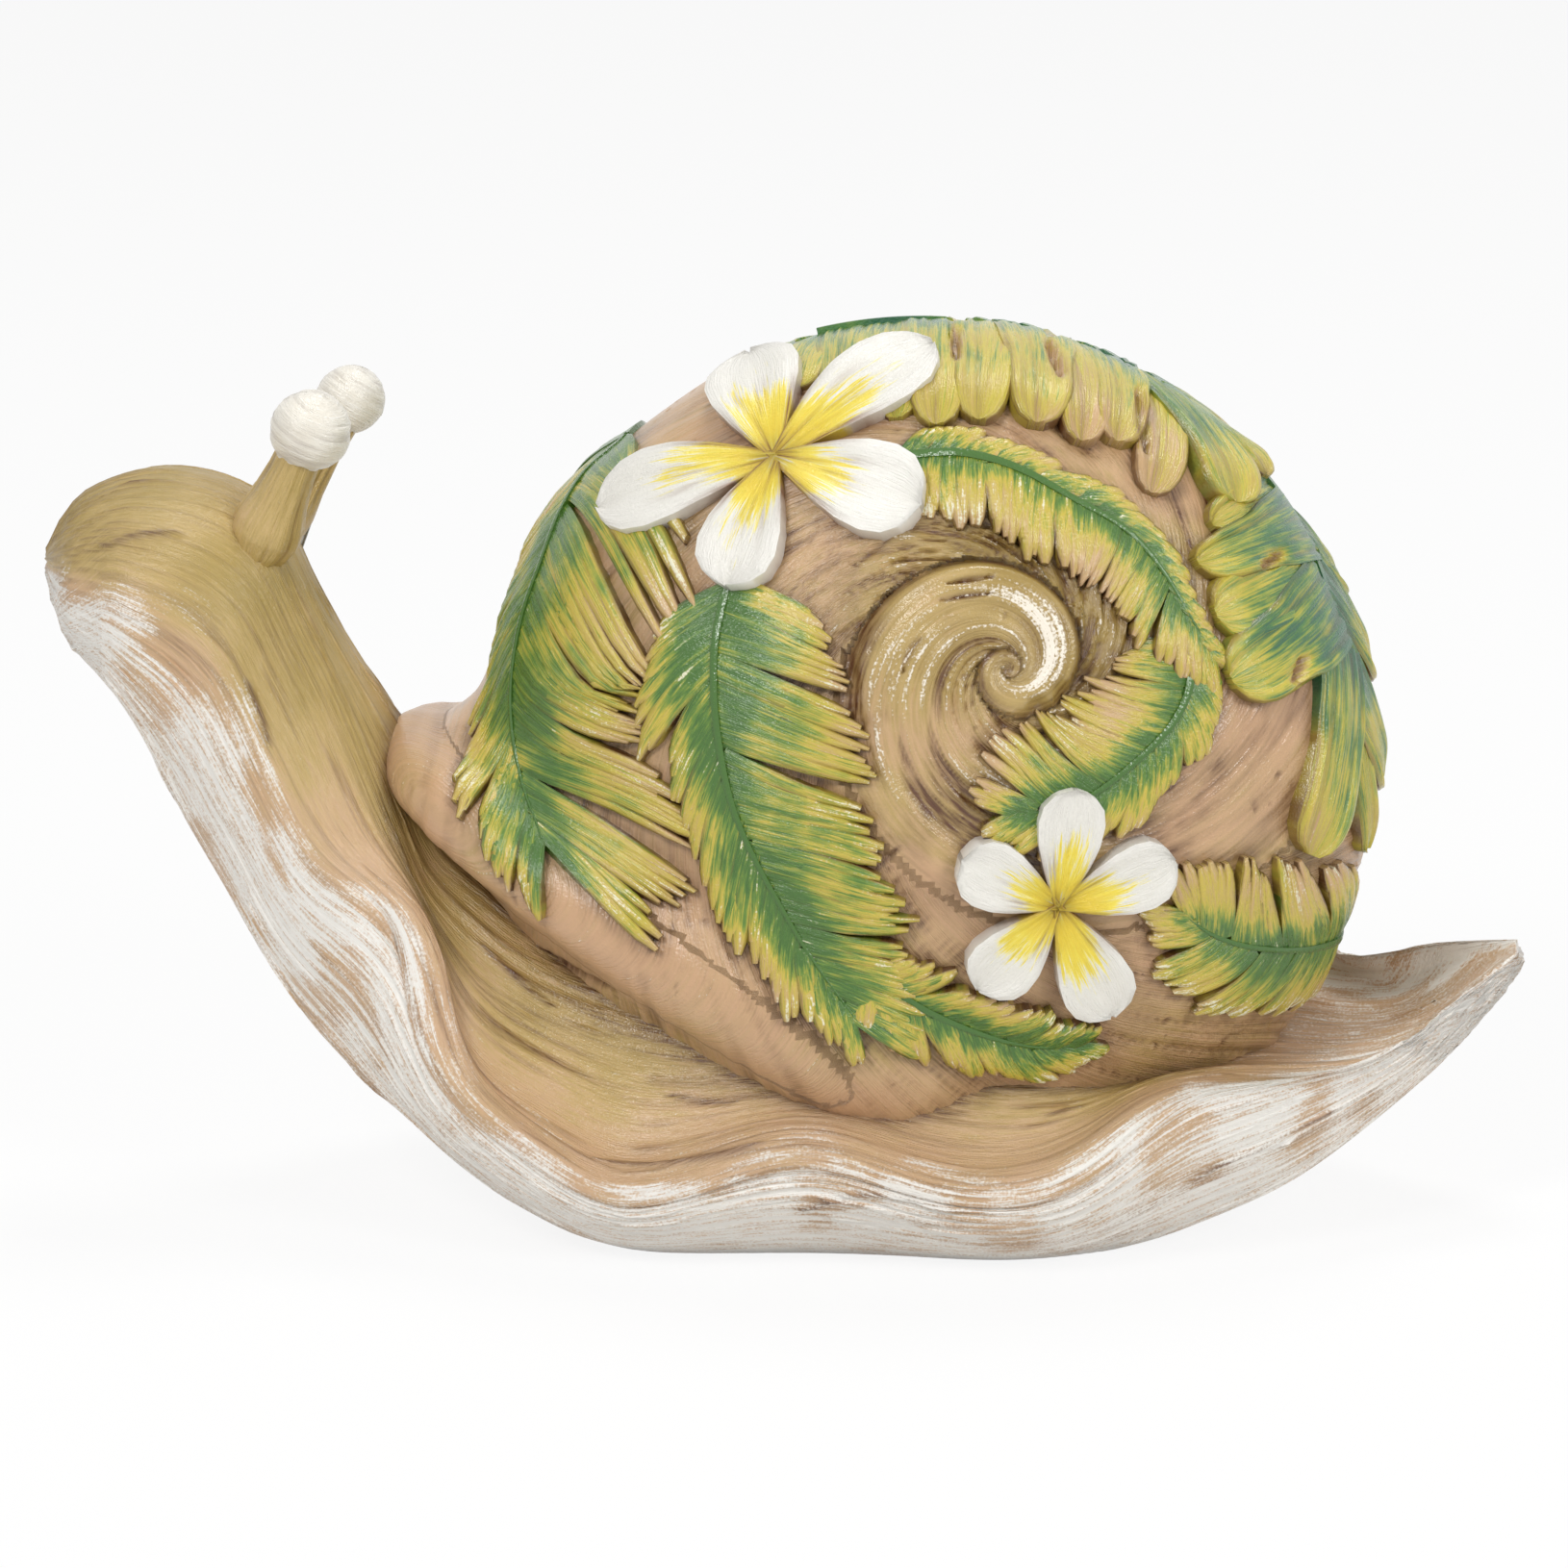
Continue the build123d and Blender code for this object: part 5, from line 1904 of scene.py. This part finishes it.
@dataclass
class EyeStalk:
    """A tentacle: a stalk that flares out of the head, with a round eye on it."""

    flank: Flank
    root: tuple[float, float, float]
    seed: int
    root_radius: float = 6.4
    neck_radius: float = 3.6
    sink: float = 5.0
    stalk_grid: tuple[int, int] = (64, 96)
    eye_grid: tuple[int, int] = (80, 120)

    def axis(self) -> tuple[np.ndarray, float]:
        """Middle and radius of the eye, from its CAD node."""
        low, high = (np.array(corner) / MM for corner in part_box(f"{self.flank.label}_eye"))
        return (low + high) / 2, float((high - low).max() / 2)

    def round_grid(
        self, centres: np.ndarray, radii: np.ndarray, count: int
    ) -> tuple[np.ndarray, list[tuple[int, ...]], np.ndarray]:
        """Rings of points about the stalk's line, closed at both ends.

        Args:
            centres: Middle of each ring.
            radii: Radius of each ring.
            count: Points in a ring.

        Returns:
            Points, faces and the angle of each point.
        """
        eye, _ = self.axis()
        line = unit(eye - np.array(self.root))
        side = unit(np.cross(line, (0, 1, 0)))
        other = np.cross(line, side)
        turn = np.arange(count) / count * 2 * np.pi
        spoke = np.cos(turn)[:, None] * side + np.sin(turn)[:, None] * other
        rings = centres[:, None] + radii[:, None, None] * spoke
        points = np.concatenate((rings.reshape(-1, 3), centres[:1], centres[-1:]))
        faces = grid_quads(len(centres), count, closed=True).tolist()
        last = (len(centres) - 1) * count
        for i in range(count):
            after = (i + 1) % count
            faces.append((after, i, len(points) - 2))
            faces.append((last + i, last + after, len(points) - 1))
        return points, faces, np.append(np.tile(turn, len(centres)), (0, 0))

    def build_stalk(self) -> bpy.types.Object:
        """Makes the stalk, grooved lengthwise.

        Returns:
            The piece.
        """
        eye, _ = self.axis()
        root = np.array(self.root)
        line, length = unit(eye - root), np.linalg.norm(eye - root)
        rings, around = self.stalk_grid
        out = np.linspace(-self.sink / length, 1, rings)
        width = np.interp(out, (-0.3, 0, 0.12, 0.22, 0.4, 0.65, 1), (-0.6, 0.55, 0.85, 0.8, 0.42, 0.12, 0.0))
        radii = self.neck_radius + (self.root_radius - self.neck_radius) * width
        points, faces, turn = self.round_grid(root + out[:, None] * length * line, radii, around)
        mesh = new_mesh("stalk", points, faces)
        along = np.append(np.repeat(out * length, around), (0, length))
        flow = np.stack((along, turn * 5.5, 0 * along), axis=1)
        comb = combing(flow, 1.0, 14.0, self.seed)
        move_points(mesh, points + mesh_normals(mesh) * (0.22 * comb)[:, None])
        tone = 0.55 + 0.35 * lattice_noise(points / 6.0, self.seed)
        wash = 0.45 * smooth_step(-0.1, -0.8, comb) + 0.4 * smooth_step(0.80, 0.95, along / length)
        dry = 0.05 + 0.15 * smooth_step(0.2, 0.8, comb)
        paint_mesh(mesh, BODY_PAINT, tone, np.clip(wash, 0, 0.9), dry, flow)
        label = f"{self.flank.label}_stalk"
        return place_piece(mesh, f"{label}_cone", "body_resin", label)

    def build_eye(self) -> bpy.types.Object:
        """Makes the eye, a slightly uneven ball with brushed paint.

        Returns:
            The piece.
        """
        eye, radius = self.axis()
        line = unit(eye - np.array(self.root))
        rings, around = self.eye_grid
        rise = np.linspace(-math.pi / 2 + 0.05, math.pi / 2 - 0.05, rings)
        centres = eye + radius * np.sin(rise)[:, None] * line
        points, faces, turn = self.round_grid(centres, radius * np.cos(rise), around)
        mesh = new_mesh("eye", points, faces)
        level = np.append(np.repeat(rise, around), (rise[0], rise[-1]))
        flow = np.stack((turn * radius * 0.8 + level * 2, level * radius, 0 * turn), axis=1)
        comb = combing(flow, 0.9, 7.0, self.seed + 5)
        lumps = lattice_noise((points - eye) / 4.0, self.seed) - 0.5
        collar = smooth_step(-0.75, -1.0, level) * (lattice_noise(flow / 1.7, self.seed) - 0.6)
        move_points(mesh, points + mesh_normals(mesh) * (0.10 * comb + 0.5 * lumps + 0.6 * collar)[:, None])
        tone = 0.62 + 0.5 * lumps - 0.5 * smooth_step(-0.8, -1.3, level)
        wash = 0.26 * smooth_step(-0.2, -0.9, comb) + 0.3 * smooth_step(-0.9, -1.4, level)
        paint_mesh(mesh, EYE_PAINT, tone, wash, 0.2 + 0.2 * comb, flow)
        label = f"{self.flank.label}_eye"
        return place_piece(mesh, f"{label}_ball", "eye_resin", label)


@dataclass(frozen=True)
class PlainFinish:
    """Finish of a bought-in piece that hardly shows: a moulded or drawn surface with a fine grain."""

    name: str
    light: str
    dark: str
    roughness: float
    metallic: float
    grain: float

    def dress(self, node: str) -> None:
        """Gives a CAD node this finish.

        Args:
            node: Name of the node.
        """
        finish = bpy.data.materials.get(self.name) or bpy.data.materials.new(self.name)
        if not finish.use_nodes:
            finish.use_nodes = True
            tree = finish.node_tree
            tree.nodes.clear()
            place = add_node(tree, "ShaderNodeTexCoord").outputs["Object"]
            noise = add_node(tree, NOISE, {"Vector": place, "Scale": 1 / (self.grain * MM)}).outputs[0]
            ramp = add_node(tree, "ShaderNodeValToRGB", {"Fac": noise}, ((0.3, self.dark), (0.7, self.light)))
            bump = add_node(tree, "ShaderNodeBump", {"Height": noise, "Distance": 0.05 * MM}).outputs[0]
            inputs = {"Base Color": ramp.outputs[0], "Normal": bump}
            inputs.update({"Roughness": self.roughness, "Metallic": self.metallic})
            surface = add_node(tree, "ShaderNodeBsdfPrincipled", inputs).outputs[0]
            add_node(tree, "ShaderNodeOutputMaterial", {"Surface": surface})
        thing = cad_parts[node]
        thing.data.materials.clear()
        thing.data.materials.append(finish)
        log.info("%s: %s", node, self.name)


# Moulded butyl rubber: dark, matt and slightly mottled
RUBBER = PlainFinish("moulded_rubber", "#34322f", "#262422", 0.75, 0.0, 0.8)
# Drawn steel wire: grey metal with a fine drawn grain
STEEL = PlainFinish("drawn_steel_wire", "#a9a7a2", "#8f8c86", 0.35, 1.0, 0.3)


@dataclass(frozen=True)
class SoftLamp:
    """A large soft studio lamp that points at the figurine."""

    name: str
    place: tuple[float, float, float]
    size: float
    power: float

    def build(self) -> None:
        """Puts the lamp in the scene."""
        data = bpy.data.lights.new(self.name, "AREA")
        data.shape, data.size, data.energy = "DISK", self.size, self.power
        lamp = new_object(self.name, data)
        lamp.location = self.place
        aim = Vector((0, 0, 0.06)) - lamp.location
        lamp.rotation_mode = "QUATERNION"
        lamp.rotation_quaternion = aim.to_track_quat("-Z", "Y")


@dataclass(frozen=True)
class Studio:
    """A plain pale floor, soft lamps, a pale surround and the camera."""

    floor_size: float = 12.0
    floor_glow: float = 0.88
    ambient: float = 0.34
    lamps: tuple[SoftLamp, ...] = (
        SoftLamp("key", (-0.65, -1.1, 1.15), 0.5, 11.0),
        SoftLamp("fill", (1.0, -0.9, 0.8), 0.55, 8.0),
        SoftLamp("top", (0.1, 0.35, 1.3), 0.5, 6.0),
    )

    def pale(self, tree: bpy.types.NodeTree) -> bpy.types.NodeSocket:
        """1 for rays that look at the background straight, in a mirror or through glass.

        Args:
            tree: Tree that gets the nodes.

        Returns:
            Socket with the share.
        """
        path = add_node(tree, "ShaderNodeLightPath").outputs
        either = path["Is Camera Ray"]
        for ray in ("Is Glossy Ray", "Is Transmission Ray"):
            either = add_node(tree, MATH, {0: either, 1: path[ray]}, operation="MAXIMUM").outputs[0]
        return either

    def build_floor(self) -> None:
        """Lays the floor, which looks white and keeps a soft shadow."""
        half = self.floor_size / 2
        mesh = bpy.data.meshes.new("floor")
        corners = [(-half, -half, 0), (half, -half, 0), (half, half, 0), (-half, half, 0)]
        mesh.from_pydata(corners, [], [(0, 1, 2, 3)])
        floor = new_object("floor", mesh)
        paper = bpy.data.materials.new("white_paper")
        paper.use_nodes = True
        tree = paper.node_tree
        tree.nodes.clear()
        matt = add_node(tree, "ShaderNodeBsdfDiffuse", {"Color": linear_colour("#f4f4f3")}).outputs[0]
        glow = add_node(tree, "ShaderNodeEmission", {"Strength": 1.0}).outputs[0]
        inputs = {0: self.pale(tree), 1: self.floor_glow}
        share = add_node(tree, MATH, inputs, operation="MULTIPLY").outputs[0]
        both = add_node(tree, "ShaderNodeMixShader", {0: share, 1: matt, 2: glow}).outputs[0]
        add_node(tree, "ShaderNodeOutputMaterial", {"Surface": both})
        mesh.materials.append(paper)

    def build_world(self) -> None:
        """Surrounds the figurine with pale light."""
        world = bpy.data.worlds.new("studio")
        bpy.context.scene.world = world
        world.use_nodes = True
        tree = world.node_tree
        tree.nodes.clear()
        inputs = {"Value": self.pale(tree), "To Min": self.ambient, "To Max": 1.0}
        strength = add_node(tree, "ShaderNodeMapRange", inputs).outputs["Result"]
        inputs = {"Strength": strength, "Color": (1, 1, 1, 1)}
        light = add_node(tree, "ShaderNodeBackground", inputs).outputs[0]
        add_node(tree, "ShaderNodeOutputWorld", {"Surface": light})

    def build_camera(self) -> None:
        """Puts the camera where the picture was taken from."""
        data = bpy.data.cameras.new("camera")
        data.lens, data.sensor_width = VIEW.lens, VIEW.sensor
        data.clip_start, data.clip_end = 0.01, 50.0
        camera = new_object("camera", data)
        camera.location = VIEW.eye * MM
        axes = np.stack((VIEW.right, VIEW.up, VIEW.back), axis=1)
        camera.rotation_mode = "QUATERNION"
        camera.rotation_quaternion = Matrix(axes.tolist()).to_quaternion()
        bpy.context.scene.camera = camera

    def build(self) -> None:
        """Sets up the whole studio."""
        self.build_floor()
        self.build_world()
        self.build_camera()
        for lamp in self.lamps:
            lamp.build()
        bpy.context.scene.view_settings.view_transform = "Standard"


# Fronds of a flank. Midribs run from the stem to the tip; reaches are to the left and right of that way.
FRONDS = (
    Frond(
        "front_frond",
        ((652, 456), (610, 505), (579, 567), (554, 643), (542, 710), (541, 777), (548, 835), (562, 878)),
        (36.0, 20.0), (54.0, 36.0), (0.68, 1.0), 5, 101,
        profile=(0.75, 1.0, 1.0, 0.9, 0.7),
    ),
    Frond(
        "throat_frond",
        ((757, 607), (746, 670), (746, 732), (757, 799), (779, 866), (811, 933), (846, 1000), (885, 1055)),
        (25.0, 17.0), (60.0, 38.0), (0.90, 1.0), 5, 102,
        profile=(0.7, 1.0, 1.0, 0.75, 0.55),
    ),
    Frond(
        "crown_frond",
        (
            (943, 474), (998, 478), (1061, 494), (1117, 522),
            (1168, 553), (1204, 597), (1231, 644), (1251, 676),
        ),
        (8.0, 14.0), (28.0, 70.0), (0.65, 0.50), 5, 103,
        profile=(0.8, 1.0, 1.0, 0.85, 0.6),
    ),
    Frond(
        "whorl_frond",
        ((1235, 676), (1229, 715), (1208, 759), (1176, 794), (1140, 820), (1093, 838), (1055, 843)),
        (11.5, 17.0), (50.0, 62.0), (0.75, 0.55), 4, 104,
    ),
    Frond(
        "tail_frond",
        ((1392, 965), (1350, 982), (1300, 982), (1255, 965), (1225, 945)),
        (15.0, 17.0), (62.0, 60.0), (0.70, 0.60), 4, 105,
        profile=(0.8, 1.0, 1.0, 0.85, 0.6),
    ),
    Frond(
        "hem_frond",
        ((895, 1000), (950, 1040), (991, 1057), (1033, 1073), (1075, 1084), (1116, 1081)),
        (10.5, 10.5), (40.0, 48.0), (0.65, 0.65), 4, 106,
        profile=(0.8, 1.0, 1.0, 0.9, 0.6),
    ),
)
# Crest leaves. Midribs by degrees about the shell's axis and place across it; lobes by root and tip as they
# are seen, width in millimetres, place on the paint's colours and height.
CREST_LEAVES = (
    LobedLeaf(
        "crest_leaf",
        ((104, 5.0), (88, 5.0), (65, 5.0), (42, 4.0)),
        (
            ((842, 356), (818, 410), 14.0, 0.30, 0.45),
            ((890, 346), (884, 430), 10.0, 0.25, 0.5),
            ((930, 343), (930, 440), 9.5, 0.25, 0.65),
            ((972, 340), (970, 445), 10.5, 0.26, 1.0),
            ((1022, 339), (1020, 443), 10.5, 0.22, 1.1),
            ((1067, 342), (1073, 450), 11.5, 0.22, 1.25),
            ((1108, 348), (1124, 462), 10.0, 0.26, 1.0),
            ((1147, 362), (1158, 470), 10.5, 0.22, 1.2),
            ((1180, 392), (1193, 518), 10.5, 0.50, 0.8),
            ((1196, 384), (1280, 528), 14.0, 0.14, 1.3),
            ((1245, 400), (1316, 480), 10.0, 0.10, 1.2),
        ),
        True,
        (
            ((995, 342), (994, 350), (995, 366)),
            ((1092, 354), (1098, 368), (1104, 384)),
            ((1186, 405), (1190, 430), (1195, 465)),
        ),
        111,
    ),
    LobedLeaf(
        "rear_leaf",
        ((43, -1.0), (36, -4.0), (26, -10.0), (14, -17.0), (5, -22.0)),
        (
            ((1334, 513), (1258, 548), 9.0, 0.10, 0.9),
            ((1345, 545), (1236, 588), 12.5, 0.06, 1.15),
            ((1362, 590), (1262, 640), 14.0, 0.06, 1.05),
            ((1372, 622), (1276, 704), 15.0, 0.08, 1.1),
            ((1380, 670), (1352, 886), 13.0, 0.03, 1.15),
            ((1345, 548), (1396, 610), 9.0, 0.02, 0.8),
            ((1368, 600), (1424, 702), 11.0, 0.02, 0.8),
            ((1385, 690), (1430, 812), 11.0, 0.08, 0.8),
            ((1386, 720), (1412, 886), 8.0, 0.12, 0.8),
        ),
        False,
        (
            ((1357, 686), (1355, 695), (1350, 706)),
            ((1334, 575), (1328, 579), (1318, 586)),
        ),
        112,
    ),
)
# Petals by direction in degrees, length and width in pixels, as they are seen
FLOWERS = (
    Flower(
        "large_flower",
        {Flank.LEFT: (808, 478), Flank.RIGHT: (790, 600)},
        ((107, 132, 100), (42, 194, 92), (-17, 145, 96), (-113, 134, 86), (-169, 187, 92)),
        121,
    ),
    Flower(
        "small_flower",
        {Flank.LEFT: (1098, 940), Flank.RIGHT: (1098, 940)},
        ((82, 116, 68), (21, 124, 72), (-63, 124, 74), (-134, 113, 72), (154, 106, 70)),
        122,
    ),
)
STALKS = (
    EyeStalk(Flank.LEFT, (-86.5, -8.64, 112.6), 131),
    EyeStalk(Flank.RIGHT, (-87.5, 7.6, 111.5), 132),
)


def main() -> None:
    """Builds the figurine's pieces in order, then the studio."""
    logging.basicConfig(level=logging.INFO, format="%(message)s")
    leaf_points = []
    for flank in Flank:
        for kind in FLOWERS + FRONDS:
            _, points = kind.build(flank)
            leaf_points.append(points)
    for leaf in CREST_LEAVES:
        _, points = leaf.build()
        leaf_points.append(points)
    ShellCast().build(np.concatenate(leaf_points))
    BodyCast().build()
    for stalk in STALKS:
        stalk.build_stalk()
        stalk.build_eye()
        STEEL.dress(f"{stalk.flank.label}_stalk_wire")
    RUBBER.dress("vent_plug")
    Studio().build()


if __name__ == "__main__":
    main()
